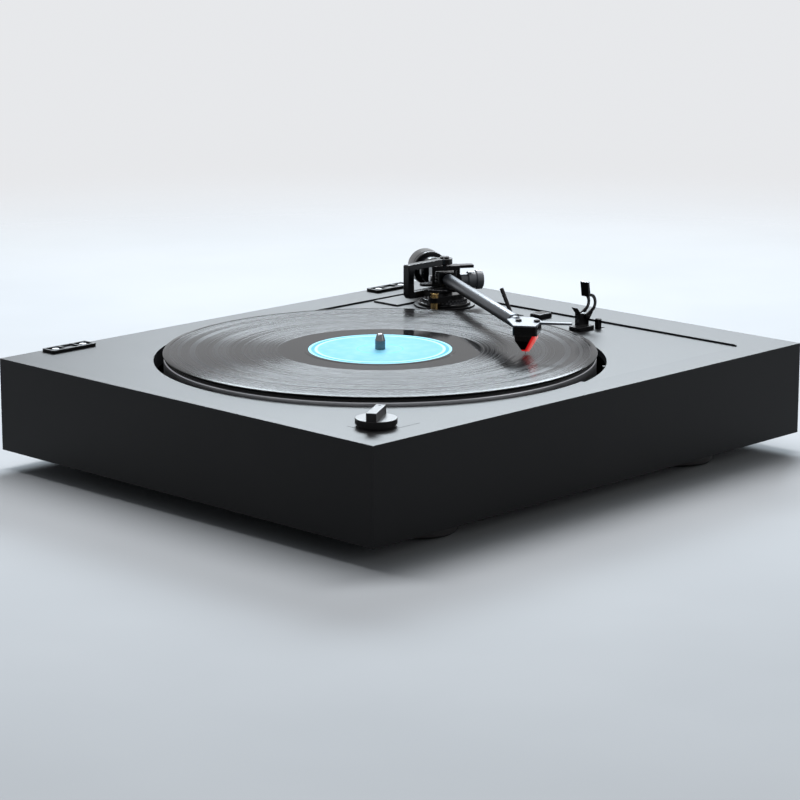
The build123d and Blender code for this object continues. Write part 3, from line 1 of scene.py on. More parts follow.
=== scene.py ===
"""Looks for a belt-driven turntable record player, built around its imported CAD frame."""

from __future__ import annotations

import json
import logging
import math
from dataclasses import dataclass, field
from enum import Enum
from typing import Sequence, Union

import bmesh
import bpy
from mathutils import Matrix, Vector

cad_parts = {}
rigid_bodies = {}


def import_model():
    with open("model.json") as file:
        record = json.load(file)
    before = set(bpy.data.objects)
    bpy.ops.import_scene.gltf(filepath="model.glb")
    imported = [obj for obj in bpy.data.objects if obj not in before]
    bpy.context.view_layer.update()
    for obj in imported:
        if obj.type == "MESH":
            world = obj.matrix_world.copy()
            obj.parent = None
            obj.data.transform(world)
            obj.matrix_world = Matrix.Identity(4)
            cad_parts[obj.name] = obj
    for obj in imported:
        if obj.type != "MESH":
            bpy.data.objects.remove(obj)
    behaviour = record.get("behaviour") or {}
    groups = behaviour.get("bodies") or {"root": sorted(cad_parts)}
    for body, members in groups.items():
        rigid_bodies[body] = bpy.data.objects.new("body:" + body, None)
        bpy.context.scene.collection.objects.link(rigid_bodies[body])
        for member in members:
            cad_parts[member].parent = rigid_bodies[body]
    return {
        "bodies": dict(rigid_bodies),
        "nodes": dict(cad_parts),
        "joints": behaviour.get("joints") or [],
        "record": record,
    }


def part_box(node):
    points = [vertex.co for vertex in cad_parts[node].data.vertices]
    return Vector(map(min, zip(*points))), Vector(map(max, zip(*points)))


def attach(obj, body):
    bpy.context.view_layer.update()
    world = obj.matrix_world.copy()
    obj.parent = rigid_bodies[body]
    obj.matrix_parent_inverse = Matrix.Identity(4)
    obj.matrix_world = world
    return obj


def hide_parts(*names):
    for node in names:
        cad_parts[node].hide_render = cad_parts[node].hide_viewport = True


LOG = logging.getLogger("turntable")
MM = 0.001
FULL_TURN = 2.0 * math.pi
PLINTH_TOP = 0.078
# degrees: edges sharper than the first are softened, faces flatter than the second are joined
SHARP_ANGLE = 32.0
FLAT_ANGLE = 0.4
# millimetres: corners nearer than these are one, in a CAD mesh and in a made mesh
MERGE_DISTANCE = 0.0005
WELD_DISTANCE = 1e-5
# millimetres: points nearer the axis than the first lie on it, and points
# within the second of the widest radius are fluted
ON_AXIS = 1e-6
FLUTE_REACH = 0.01
Number = Union[int, float]
Point2 = tuple[float, float]
Point3 = tuple[float, float, float]
Colour = tuple[float, float, float]


# --------------------------------------------------------------------------- shader maths
class Sock:
    """A shader output that can be used in ordinary arithmetic."""

    def __init__(self, shade: "Shade", socket: bpy.types.NodeSocket) -> None:
        """Wrap one output socket of a material's tree."""
        self.shade = shade
        self.socket = socket

    def _math(self, operation: str, *values: "Sock | Number") -> "Sock":
        """Add a Math node that works on this output and other values.

        Args:
            operation: The Math node's operation.
            values: The node's inputs in order, this output among them.

        Returns:
            The node's result.
        """
        return self.shade.node("ShaderNodeMath", {"operation": operation}, dict(enumerate(values)))

    def __add__(self, other: "Sock | Number") -> "Sock":
        """Return self + other."""
        return self._math("ADD", self, other)

    def __radd__(self, other: Number) -> "Sock":
        """Return other + self."""
        return self._math("ADD", other, self)

    def __sub__(self, other: "Sock | Number") -> "Sock":
        """Return self - other."""
        return self._math("SUBTRACT", self, other)

    def __rsub__(self, other: Number) -> "Sock":
        """Return other - self."""
        return self._math("SUBTRACT", other, self)

    def __mul__(self, other: "Sock | Number") -> "Sock":
        """Return self * other."""
        return self._math("MULTIPLY", self, other)

    def __rmul__(self, other: Number) -> "Sock":
        """Return other * self."""
        return self._math("MULTIPLY", other, self)

    def __truediv__(self, other: "Sock | Number") -> "Sock":
        """Return self / other."""
        return self._math("DIVIDE", self, other)

    def __rtruediv__(self, other: Number) -> "Sock":
        """Return other / self."""
        return self._math("DIVIDE", other, self)

    def __pow__(self, other: "Sock | Number") -> "Sock":
        """Return self to the power other."""
        return self._math("POWER", self, other)

    def __rpow__(self, other: Number) -> "Sock":
        """Return other to the power self."""
        return self._math("POWER", other, self)

    def below(self, other: "Sock | Number") -> "Sock":
        """Return 1 where self is less than other, else 0."""
        return self._math("LESS_THAN", self, other)

    def sine(self) -> "Sock":
        """Return the sine."""
        return self._math("SINE", self)

    def root(self) -> "Sock":
        """Return the square root."""
        return self._math("SQRT", self)

    def fraction(self) -> "Sock":
        """Return the fractional part."""
        return self._math("FRACT", self)

    def ramp(self, low: float, high: float, out_low: float = 0.0, out_high: float = 1.0) -> "Sock":
        """Ease the value from one range to another, clamped at both ends.

        Args:
            low: Input at which the result is out_low.
            high: Input at which the result is out_high.
            out_low: Result at or below low.
            out_high: Result at or above high.

        Returns:
            The eased value.
        """
        values = {"Value": self, "From Min": low, "From Max": high, "To Min": out_low, "To Max": out_high}
        return self.shade.node("ShaderNodeMapRange", {"interpolation_type": "SMOOTHSTEP"}, values)


class Shade:
    """The node tree of one material, or of the surroundings."""

    def __init__(self, name: str, surroundings: bool = False) -> None:
        """Start an empty node tree.

        Args:
            name: The material's name.
            surroundings: Make the scene's surroundings instead of a material.
        """
        self.owner = bpy.data.worlds.new(name) if surroundings else bpy.data.materials.new(name)
        self.owner.use_nodes = True
        self.tree = self.owner.node_tree
        self.tree.nodes.clear()
        kind = "World" if surroundings else "Material"
        self.output = self.tree.nodes.new(f"ShaderNodeOutput{kind}")

    def _feed(self, target: bpy.types.NodeSocket, value: object) -> None:
        """Link an output to an input, or set the input's value.

        Args:
            target: The input.
            value: An output of this tree, a number or a colour.
        """
        if isinstance(value, Sock):
            self.tree.links.new(value.socket, target)
        elif isinstance(value, (tuple, list)) and target.type == "RGBA" and len(value) == 3:
            target.default_value = (*value, 1.0)
        else:
            target.default_value = value

    def node(
        self,
        kind: str,
        settings: dict[str, object] | None = None,
        values: dict[str | int, object] | None = None,
        out: str | int = 0,
    ) -> Sock:
        """Add any node.

        Args:
            kind: The node's type.
            settings: Its properties, set first; "stops" fills a colour ramp.
            values: Values or outputs for its inputs, by name or index.
            out: The output to return.

        Returns:
            The chosen output.
        """
        made = self.tree.nodes.new(kind)
        for key, setting in (settings or {}).items():
            if key == "stops":
                self._stops(made, setting)
            else:
                setattr(made, key, setting)
        for key, value in (values or {}).items():
            self._feed(made.inputs[key], value)
        return Sock(self, made.outputs[out])

    @staticmethod
    def _stops(made: bpy.types.Node, stops: Sequence[tuple[float, Colour]]) -> None:
        """Fill a colour ramp.

        Args:
            made: The colour ramp's node.
            stops: Position and colour of each stop, in order.
        """
        ramp = made.color_ramp
        while len(ramp.elements) > 1:
            ramp.elements.remove(ramp.elements[-1])
        for index, (place, colour) in enumerate(stops):
            stop = ramp.elements[0] if index == 0 else ramp.elements.new(place)
            stop.position = place
            stop.color = (*colour, 1.0)

    def place(self) -> Sock:
        """Return the piece's own coordinates."""
        return self.node("ShaderNodeTexCoord", out="Object")

    def axes(self) -> tuple[Sock, Sock, Sock]:
        """Return the X, Y and Z of the piece's own coordinates."""
        split = self.node("ShaderNodeSeparateXYZ", None, {0: self.place()})
        return tuple(Sock(self, socket) for socket in split.socket.node.outputs)

    def radius(self, centre: Point2 = (0.0, 0.0)) -> Sock:
        """Measure the distance from a line along Z.

        Args:
            centre: Where the line crosses the XY plane.

        Returns:
            The distance in metres.
        """
        x, y, _ = self.axes()
        dx, dy = x - centre[0], y - centre[1]
        return (dx * dx + dy * dy).root()

    def noise(self, scale: float, detail: float = 2.0, stretch: Point3 = (1.0, 1.0, 1.0)) -> Sock:
        """Add a noise texture.

        Args:
            scale: Noise scale, in features a metre.
            detail: Octaves of detail.
            stretch: Scale along each axis of the coordinates.

        Returns:
            The noise, centred near 0.5.
        """
        where = self.node("ShaderNodeMapping", None, {"Vector": self.place(), "Scale": stretch})
        return self.node("ShaderNodeTexNoise", None, {"Vector": where, "Scale": scale, "Detail": detail})

    def mix(self, factor: Sock | Number, first: object, second: object) -> Sock:
        """Mix two colours.

        Args:
            factor: 0 gives the first colour and 1 the second.
            first: A colour or a colour output.
            second: A colour or a colour output.

        Returns:
            The mixed colour.
        """
        return self.node("ShaderNodeMix", {"data_type": "RGBA"}, {0: factor, 6: first, 7: second}, 2)

    def either(self, factor: Sock, first: Sock, second: Sock) -> Sock:
        """Return a blend of two shaders, the first at 0 and the second at 1."""
        return self.node("ShaderNodeMixShader", None, {0: factor, 1: first, 2: second})

    def bump(self, height: Sock, strength: float, distance: float) -> Sock:
        """Turn a height into a normal.

        Args:
            height: The height, as a fraction of distance.
            strength: How much of it to use.
            distance: The height's unit in metres.

        Returns:
            The normal.
        """
        sockets = {"Height": height, "Strength": strength, "Distance": distance}
        return self.node("ShaderNodeBump", None, sockets)

    def principled(self, **values: object) -> Sock:
        """Add a Principled shader; underscores in names stand for spaces."""
        named = {key.replace("_", " "): value for key, value in values.items()}
        return self.node("ShaderNodeBsdfPrincipled", None, named)

    def shown(self) -> Sock:
        """Tell what is looked at from what only gives light.

        Returns:
            1 for what the camera, a reflection or a clear piece shows, else 0.
        """
        camera = self.node("ShaderNodeLightPath", out="Is Camera Ray")
        rays = camera.socket.node.outputs
        return camera + Sock(self, rays["Is Glossy Ray"]) + Sock(self, rays["Is Transmission Ray"])

    def finish(self, surface: Sock) -> bpy.types.Material | bpy.types.World:
        """Send a shader to the output and return the material or surroundings."""
        self._feed(self.output.inputs["Surface"], surface)
        return self.owner


# --------------------------------------------------------------------------- finishes
@dataclass(frozen=True)
class SatinPaint:
    """Sprayed paint with a fine grain and faint cloudiness."""

    name: str
    colour: Colour
    lift: Colour
    roughness: float = 0.34
    ior: float = 1.5
    grain: float = 2600.0
    grain_depth: float = 0.000012

    def make(self) -> bpy.types.Material:
        """Build the paint's material.

        Returns:
            The material.
        """
        shade = Shade(self.name)
        cloud = shade.noise(9.0, 3.0)
        speck = shade.noise(self.grain, 2.0)
        colour = shade.mix(cloud.ramp(0.35, 0.7), self.colour, self.lift)
        colour = shade.mix(speck.ramp(0.55, 0.8) * 0.25, colour, self.lift)
        rough = self.roughness + (cloud - 0.5) * 0.06 + (speck - 0.5) * 0.05
        normal = shade.bump(speck, 0.5, self.grain_depth)
        return shade.finish(shade.principled(Base_Color=colour, Roughness=rough, Normal=normal, IOR=self.ior))


@dataclass(frozen=True)
class Moulded:
    """Moulded plastic or rubber with a spark-eroded texture."""

    name: str
    colour: Colour
    roughness: float = 0.5
    ior: float = 1.46
    pit: float = 1500.0
    pit_depth: float = 0.00002

    def make(self) -> bpy.types.Material:
        """Build the plastic's material.

        Returns:
            The material.
        """
        shade = Shade(self.name)
        pits = shade.noise(self.pit, 3.0)
        wear = shade.noise(60.0, 4.0)
        lighter = tuple(min(1.0, part * 1.6 + 0.004) for part in self.colour)
        colour = shade.mix(wear.ramp(0.45, 0.75) * 0.5, self.colour, lighter)
        rough = self.roughness + (wear - 0.5) * 0.15
        normal = shade.bump(pits, 0.4, self.pit_depth)
        return shade.finish(shade.principled(Base_Color=colour, Roughness=rough, Normal=normal, IOR=self.ior))


@dataclass(frozen=True)
class TurnedMetal:
    """Metal with the fine rings that a lathe leaves round the piece's own Z axis."""

    name: str
    colour: Colour
    roughness: float = 0.28
    centre: Point2 = (0.0, 0.0)
    pitch: float = 0.00022
    depth: float = 0.000006

    def make(self) -> bpy.types.Material:
        """Build the turned metal's material.

        Returns:
            The material.
        """
        shade = Shade(self.name)
        _, _, z = shade.axes()
        across = shade.radius(self.centre) + z * 0.37
        drift = shade.noise(350.0, 2.0)
        rings = (across * (FULL_TURN / self.pitch) + drift * 5.0).sine()
        smear = shade.noise(25.0, 3.0)
        darker = tuple(part * 0.82 for part in self.colour)
        colour = shade.mix(smear.ramp(0.35, 0.7), self.colour, darker)
        rough = self.roughness + rings * 0.04 + (smear - 0.5) * 0.1
        normal = shade.bump(rings, 0.5, self.depth)
        return shade.finish(
            shade.principled(Base_Color=colour, Roughness=rough, Normal=normal, Metallic=1.0)
        )


@dataclass(frozen=True)
class BrushedMetal:
    """Metal with straight brush lines along one axis."""

    name: str
    colour: Colour
    roughness: float = 0.32
    along: Point3 = (0.03, 1.0, 1.0)
    metallic: float = 1.0

    def make(self) -> bpy.types.Material:
        """Build the brushed metal's material.

        Returns:
            The material.
        """
        shade = Shade(self.name)
        lines = shade.noise(2400.0, 3.0, self.along)
        smear = shade.noise(40.0, 3.0)
        darker = tuple(part * 0.85 for part in self.colour)
        colour = shade.mix(lines.ramp(0.4, 0.7) * 0.6, self.colour, darker)
        rough = self.roughness + (lines - 0.5) * 0.2 + (smear - 0.5) * 0.1
        normal = shade.bump(lines, 0.3, 0.00001)
        return shade.finish(
            shade.principled(Base_Color=colour, Roughness=rough, Normal=normal, Metallic=self.metallic)
        )


@dataclass(frozen=True)
class Vinyl:
    """Pressed record: grooves in bands, darker run-out, plain rim."""

    name: str
    centre: Point2
    label: float
    rim: float
    run_out: float = 0.0195
    run_in: float = 0.0046
    spiral_pitch: float = 0.0046
    bead: float = 0.0036
    groove_depth: float = 0.00006
    groove_scale: float = 620.0
    band_scale: float = 95.0
    ior: float = 1.17
    anisotropy: float = 0.95

    def make(self) -> bpy.types.Material:
        """Build the record's material.

        Returns:
            The material.
        """
        shade = Shade(self.name)
        radius = shade.radius(self.centre)
        ring = shade.node("ShaderNodeCombineXYZ", None, {0: radius, 1: 0.37, 2: 0.0})
        loud, broad = (
            shade.node("ShaderNodeTexNoise", None, {"Vector": ring, "Scale": scale, "Detail": detail})
            for scale, detail in ((self.groove_scale, 4.0), (self.band_scale, 2.0))
        )
        inner, outer = self.label + self.run_out, self.rim - self.run_in
        grooved = radius.ramp(inner, inner + 0.001) * (1 - radius.ramp(outer, outer + 0.0006))
        height = (loud - 0.5) * grooved
        runout = (1 - grooved) * (radius * (FULL_TURN / self.spiral_pitch)).sine() ** 8.0
        colour = shade.mix(broad.ramp(0.4, 0.65) * grooved, (0.0025, 0.0025, 0.003), (0.008, 0.008, 0.0095))
        rim = radius.ramp(self.rim - self.bead, self.rim - self.bead + 0.0002)
        grain = 0.19 + (loud - 0.5) * 0.6 + (broad - 0.5) * 0.16
        rough = 0.05 + grooved * grain + runout * 0.03 + rim * 0.17
        normal = shade.bump(height, 0.6, self.groove_depth)
        return shade.finish(
            shade.principled(
                Base_Color=colour,
                Roughness=rough,
                Normal=normal,
                IOR=self.ior,
                Anisotropic=self.anisotropy,
                Anisotropic_Rotation=0.25,
            )
        )


@dataclass(frozen=True)
class LabelPaper:
    """Printed paper label: coloured rings on a pale field, with no lettering."""

    name: str
    centre: Point2
    radius: float
    field_blue: Colour = (0.17, 0.50, 0.66)
    outer_blue: Colour = (0.14, 0.46, 0.63)
    edge_blue: Colour = (0.12, 0.50, 0.76)
    band_blue: Colour = (0.04, 0.38, 0.58)
    ring_blue: Colour = (0.10, 0.62, 0.85)
    rim_blue: Colour = (0.32, 0.74, 0.92)
    pale_blue: Colour = (0.45, 0.74, 0.84)
    paper: Colour = (0.9, 0.95, 0.97)

    def make(self) -> bpy.types.Material:
        """Build the label's material.

        Returns:
            The material.
        """
        shade = Shade(self.name)
        part = shade.radius(self.centre) / self.radius
        stops = [
            (0.0, self.field_blue),
            (0.30, self.field_blue),
            (0.31, self.ring_blue),
            (0.325, self.ring_blue),
            (0.335, self.field_blue),
            (0.80, self.outer_blue),
            (0.86, self.edge_blue),
            (0.88, self.pale_blue),
            (0.905, self.pale_blue),
            (0.915, self.band_blue),
            (0.955, self.band_blue),
            (0.965, self.rim_blue),
        ]
        rings = shade.node("ShaderNodeValToRGB", {"stops": stops}, {0: part})
        fibre = shade.noise(3200.0, 3.0, (1.0, 0.35, 1.0))
        cloud = shade.noise(120.0, 3.0)
        colour = shade.mix(cloud.ramp(0.35, 0.75) * 0.07, rings, self.paper)
        rough = 0.6 + (fibre - 0.5) * 0.2
        normal = shade.bump(fibre, 0.35, 0.00002)
        return shade.finish(shade.principled(Base_Color=colour, Roughness=rough, Normal=normal, IOR=1.15))


@dataclass(frozen=True)
class ClearWithPaintedLight:
    """Stylus housing of red clear plastic: near black on one side, for its dark core and painted shade; on
    the other, where light passes, red with a painted glow and a painted highlight towards the edge.
    """

    name: str
    colour: Colour
    # painted highlight at the lit edge, then near black for the dark core and painted shade
    painted_highlight: Colour
    core_and_painted_shade: Colour
    origin: Point3
    across: Point3
    rise: Point3
    roughness: float = 0.12
    # strength of the painted glow, the slanting line where painted shade gives way to it, and the heights
    # over which the tip glows
    painted_glow: float = 0.75
    shade_edge_height: float = 0.005
    shade_edge_slope: float = 0.52
    shade_edge_offset: float = 0.0049
    tip: Point2 = (-0.0158, -0.0148)

    def _along(self, shade: Shade, direction: Point3) -> Sock:
        """Return the distance from the origin along a direction.

        Args:
            shade: The material being made.
            direction: A unit vector in the part's frame.

        Returns:
            The distance in metres.
        """
        x, y, z = shade.axes()
        offset = sum(a * b for a, b in zip(self.origin, direction))
        return x * direction[0] + y * direction[1] + z * direction[2] - offset

    def make(self) -> bpy.types.Material:
        """Build the housing's material.

        Returns:
            The material.
        """
        shade = Shade(self.name)
        height = self._along(shade, self.rise)
        # painted shade lies before this slanting line and painted glow past it
        shade_edge = (height + self.shade_edge_height) * self.shade_edge_slope + self.shade_edge_offset
        past = self._along(shade, self.across) - shade_edge
        flow = shade.noise(260.0, 2.0)
        # mask of the painted glow: 1 past the line and at the tip, 0 in the painted shade
        tip = height.ramp(*self.tip, 1.0, 0.0)
        clear = past.ramp(-0.0002, 0.0004)
        clear = clear + tip * (1 - clear)
        # red turning to a painted highlight towards the edge, streaked by the flow noise
        red_to_painted_highlight = shade.mix(past.ramp(0.0008, 0.0030) * (flow * 0.5 + 0.6), self.colour, self.painted_highlight)
        colour = shade.mix(clear, self.core_and_painted_shade, red_to_painted_highlight)
        normal = shade.bump(flow, 0.2, 0.00003)
        return shade.finish(
            shade.principled(
                Base_Color=colour,
                Roughness=self.roughness + (flow - 0.5) * 0.06,
                Normal=normal,
                # painted glow: the lit side gives out red light of its own
                Emission_Color=shade.mix(clear, (0.0, 0.0, 0.0), red_to_painted_highlight),
                Emission_Strength=self.painted_glow,
                Coat_Weight=0.6,
            )
        )


@dataclass(frozen=True)
class CircuitGreen:
    """Circuit board lacquer with faint copper tracks under it."""

    name: str
    tracks_per_metre: Point2 = (420.0, 380.0)
    track_share: Point2 = (0.3, 0.25)
    lacquer: Colour = (0.01, 0.12, 0.05)
    copper: Colour = (0.03, 0.26, 0.12)

    def make(self) -> bpy.types.Material:
        """Build the board's material.

        Returns:
            The material.
        """
        shade = Shade(self.name)
        x, y, _ = shade.axes()
        along = (x * self.tracks_per_metre[0]).fraction().below(self.track_share[0])
        across = (y * self.tracks_per_metre[1]).fraction().below(self.track_share[1])
        tracks = (along + across) * 0.5
        patch = shade.noise(70.0, 1.0).ramp(0.45, 0.5)
        colour = shade.mix(tracks * patch, self.lacquer, self.copper)
        normal = shade.bump(tracks * patch, 0.3, 0.00003)
        return shade.finish(shade.principled(Base_Color=colour, Roughness=0.35 + patch * 0.08, Normal=normal))


# --------------------------------------------------------------------------- mesh making
def place_mesh(name: str, mesh: bmesh.types.BMesh, at: Matrix, sharp: float = 35.0) -> bpy.types.Object:
    """Turn a bmesh into a smooth-shaded object.

    Args:
        name: The piece's name.
        mesh: The mesh, in millimetres in its own frame; it is freed.
        at: The frame's place in metres.
        sharp: Edges sharper than this many degrees stay crisp.

    Returns:
        The new object.
    """
    bmesh.ops.remove_doubles(mesh, verts=mesh.verts, dist=WELD_DISTANCE)
    bmesh.ops.recalc_face_normals(mesh, faces=mesh.faces)
    bmesh.ops.scale(mesh, vec=(MM, MM, MM), verts=mesh.verts)
    data = bpy.data.meshes.new(name)
    mesh.to_mesh(data)
    mesh.free()
    data.shade_smooth()
    data.set_sharp_from_angle(angle=math.radians(sharp))
    made = bpy.data.objects.new(name, data)
    made.matrix_world = at
    bpy.context.scene.collection.objects.link(made)
    return made


def soften(piece: bpy.types.Object, width: float) -> None:
    """Round a piece's sharp edges and keep its flat faces flat.

    Args:
        piece: The piece.
        width: The rounding in millimetres.
    """
    bevel = piece.modifiers.new("soft_edges", "BEVEL")
    bevel.width = width * MM
    bevel.segments = 3
    bevel.limit_method = "ANGLE"
    bevel.angle_limit = math.radians(SHARP_ANGLE)
    weighted = piece.modifiers.new("flat_faces", "WEIGHTED_NORMAL")
    weighted.weight = 100
    weighted.keep_sharp = True


@dataclass(frozen=True)
class Section:
    """A closed profile in millimetres, with some corners rounded."""

    points: tuple[Point2, ...]
    rounds: tuple[tuple[int, float], ...] = ()
    facets: int = 4

    def outline(self) -> list[Point2]:
        """Round the chosen corners.

        Returns:
            The points in order.
        """
        radii = dict(self.rounds)
        result: list[Point2] = []
        for index, point in enumerate(self.points):
            if index not in radii:
                result.append(point)
                continue
            here = Vector(point)
            before = (Vector(self.points[index - 1]) - here).normalized()
            after = (Vector(self.points[(index + 1) % len(self.points)]) - here).normalized()
            half = before.angle(after) / 2
            reach = radii[index] / math.tan(half)
            start, end = here + before * reach, here + after * reach
            centre = here + (before + after).normalized() * (radii[index] / math.sin(half))
            for step in range(self.facets + 1):
                mixed = (start - centre).lerp(end - centre, step / self.facets).normalized() * radii[index]
                result.append(tuple(centre + mixed))
        return result


def turned(
    name: str, section: Section, at: Matrix, segments: int, flutes: tuple[int, float] | None = None
) -> bpy.types.Object:
    """Spin a section round Z.

    Args:
        name: The piece's name.
        section: Its (radius, height) profile.
        at: The frame's place.
        segments: Steps round the turn.
        flutes: Number and depth of flutes on the widest points, if any.

    Returns:
        The new piece.
    """
    mesh = bmesh.new()
    profile = section.outline()
    rings: list[list[bmesh.types.BMVert]] = []
    widest = max(radius for radius, _ in profile)
    for radius, height in profile:
        ring = []
        if radius < ON_AXIS:
            rings.append([mesh.verts.new((0.0, 0.0, height))])
            continue
        for step in range(segments):
            turn = FULL_TURN * step / segments
            out = radius
            if flutes and radius > widest - FLUTE_REACH:
                out -= flutes[1] * (0.5 + 0.5 * math.cos(flutes[0] * turn)) ** 2
            ring.append(mesh.verts.new((out * math.cos(turn), out * math.sin(turn), height)))
        rings.append(ring)
    for first, second in zip(rings, rings[1:] + rings[:1]):
        join_rings(mesh, first, second)
    return place_mesh(name, mesh, at)


def join_rings(
    mesh: bmesh.types.BMesh, first: list[bmesh.types.BMVert], second: list[bmesh.types.BMVert]
) -> None:
    """Bridge two rings of points with faces.

    Args:
        mesh: The mesh that the points are in.
        first: One ring, or a single point.
        second: The other ring, or a single point.
    """
    if len(first) == 1 and len(second) == 1:
        return
    count = max(len(first), len(second))
    for step in range(count):
        after = (step + 1) % count
        near = [first[step % len(first)], first[after % len(first)]]
        far = [second[after % len(second)], second[step % len(second)]]
        unique = list(dict.fromkeys(near + far))
        if len(unique) >= 3:
            mesh.faces.new(unique)


def plate(name: str, outline: Sequence[Point2], low: float, high: float, at: Matrix) -> bpy.types.Object:
    """Make a flat plate of any outline.

    Args:
        name: The piece's name.
        outline: Corner points in millimetres.
        low: Height of the lower face.
        high: Height of the upper face.
        at: The frame's place.

    Returns:
        The new piece.
    """
    mesh = bmesh.new()
    verts = [mesh.verts.new((x, y, low)) for x, y in outline]
    edges = [mesh.edges.new((a, b)) for a, b in zip(verts, verts[1:] + verts[:1])]
    bmesh.ops.triangle_fill(mesh, edges=edges, use_beauty=True, use_dissolve=True)
    grown = bmesh.ops.extrude_face_region(mesh, geom=list(mesh.faces))
    up = [part for part in grown["geom"] if isinstance(part, bmesh.types.BMVert)]
    bmesh.ops.translate(mesh, vec=(0.0, 0.0, high - low), verts=up)
    return place_mesh(name, mesh, at, 30.0)


def frame_of(origin: Vector, x_axis: Vector, z_axis: Vector) -> Matrix:
    """Work out a frame's matrix.

    Args:
        origin: Its origin, in metres.
        x_axis: Roughly its X axis, which is squared up to Z.
        z_axis: Its Z axis.

    Returns:
        The matrix.
    """
    z_axis = z_axis.normalized()
    x_axis = (x_axis - z_axis * x_axis.dot(z_axis)).normalized()
    y_axis = z_axis.cross(x_axis)
    turn = Matrix((x_axis, y_axis, z_axis)).transposed().to_4x4()
    return Matrix.Translation(origin) @ turn


class Slot(str, Enum):
    """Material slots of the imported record."""

    SATIN_BLACK = "satin_black"
    BLACK_METAL = "black_metal"
    BLACK_PLASTIC = "black_plastic"
    GLOSS_BLACK = "gloss_black"
    VINYL = "vinyl"
    LABEL = "label_paper"
    ALUMINIUM = "aluminium"
    WHITE_METAL = "white_metal"
    STEEL = "steel"
    BRASS = "brass"
    RED = "red_plastic"
    RUBBER = "rubber"


class Finish(Enum):
    """Every finish on the object."""

    PLINTH = SatinPaint("plinth_black", (0.003, 0.003, 0.0035), (0.005, 0.005, 0.0055), 0.42, 1.24)
    DECK = SatinPaint("deck_black", (0.003, 0.003, 0.0035), (0.005, 0.005, 0.0055), 0.40, 1.24)
    METAL = SatinPaint("black_metal", (0.004, 0.004, 0.005), (0.007, 0.007, 0.008), 0.20, 1.33)
    GLOSS = Moulded("gloss_black", (0.005, 0.005, 0.006), 0.12, 1.35, 700.0, 0.000006)
    KNOB = SatinPaint("knob_black", (0.005, 0.005, 0.006), (0.008, 0.008, 0.009), 0.30, 1.35)
    PLASTIC = Moulded("black_plastic", (0.010, 0.010, 0.010), 0.36)
    MATT = Moulded("matt_black_plastic", (0.014, 0.014, 0.014), 0.55)
    RUBBER = Moulded("black_rubber", (0.014, 0.014, 0.014), 0.75, 1.46, 900.0, 0.00004)
    VINYL = Vinyl("record_vinyl", (0.0, 0.0), 0.050, 0.1506)
    LABEL = LabelPaper("label_paper", (0.0, 0.0), 0.050)
    TUBE = BrushedMetal("satin_tube", (0.05, 0.057, 0.067), 0.36, (1.0, 1.0, 0.02))
    PLATTER = TurnedMetal("platter_aluminium", (0.42, 0.43, 0.45), 0.34)
    SPINDLE = TurnedMetal("spindle_steel", (0.16, 0.17, 0.18), 0.22)
    STEEL = BrushedMetal("brushed_steel", (0.45, 0.46, 0.48), 0.30)
    BRASS = TurnedMetal("turned_brass", (0.55, 0.38, 0.16), 0.16)
    TURNED_BLACK = TurnedMetal("black_turned", (0.055, 0.056, 0.060), 0.16)
    DIAL_GREY = SatinPaint("dial_grey", (0.15, 0.16, 0.175), (0.20, 0.21, 0.225), 0.34, 1.5)
    WHITE = SatinPaint("white_paint", (0.20, 0.22, 0.25), (0.24, 0.26, 0.29), 0.34, 1.35, 1800.0)
    # red plastic, its painted highlight, near black for the dark core and painted shade, then the housing's
    # frame
    RED = ClearWithPaintedLight(
        "red_translucent",
        (0.62, 0.010, 0.012),
        (0.95, 0.16, 0.14),
        (0.006, 0.003, 0.003),
        (0.030896, -0.085538, 0.101831),
        (0.56226, -0.82693, 0.00710),
        (0.009194, 0.014834, 0.99984),
    )
    BOARD = CircuitGreen("board_lacquer")
    PRINT = SatinPaint("printed_line", (0.010, 0.010, 0.011), (0.016, 0.016, 0.017), 1.0, 1.0)


NODE_FINISHES: dict[Finish, tuple[str, ...]] = {
    Finish.PLINTH: ("plinth",),
    Finish.DECK: ("deck_plate", "armboard", "hinge_socket_left", "hinge_socket_right"),
    Finish.METAL: (
        "arm_base",
        "arm_bracket",
        "sub_chassis",
        "bottom_cover",
        "terminal_plate",
        "arm_rest",
        "arm_nut",
        "counterweight",
    ),
    Finish.GLOSS: ("rest_clip", "size_switch", "start_slider"),
    Finish.KNOB: ("speed_knob",),
    Finish.PLASTIC: ("power_inlet", "cartridge_body", "lift_platform", "lift_lever"),
    Finish.MATT: (
        "foot_front_left",
        "foot_front_right",
        "foot_rear_left",
        "foot_rear_right",
        "switches",
        "cam_strip",
        "lift_guides",
    ),
    Finish.RUBBER: ("foot_pads", "motor_grommets", "drive_belt", "platter_mat"),
    Finish.VINYL: ("record",),
    Finish.LABEL: ("record_label",),
    Finish.TUBE: ("arm_tube",),
    Finish.PLATTER: ("platter", "sub_platter"),
    Finish.DIAL_GREY: ("force_dial",),
    Finish.TURNED_BLACK: ("height_ring", "arm_yoke", "gimbal_block", "weight_carrier"),
    Finish.WHITE: ("headshell",),
    Finish.STEEL: (
        "chassis_screws",
        "cheese_head_screws",
        "chassis_standoffs",
        "bearing_housing",
        "motor",
        "pivot_screws",
        "side_pivots",
        "spindle_shaft",
        "head_screws",
        "cantilever",
        "phono_sockets",
        "ground_nut",
    ),
    Finish.BRASS: ("bearing_bushes", "motor_pulley", "lift_cylinder"),
    Finish.RED: ("stylus_unit",),
    Finish.BOARD: ("circuit_board",),
}


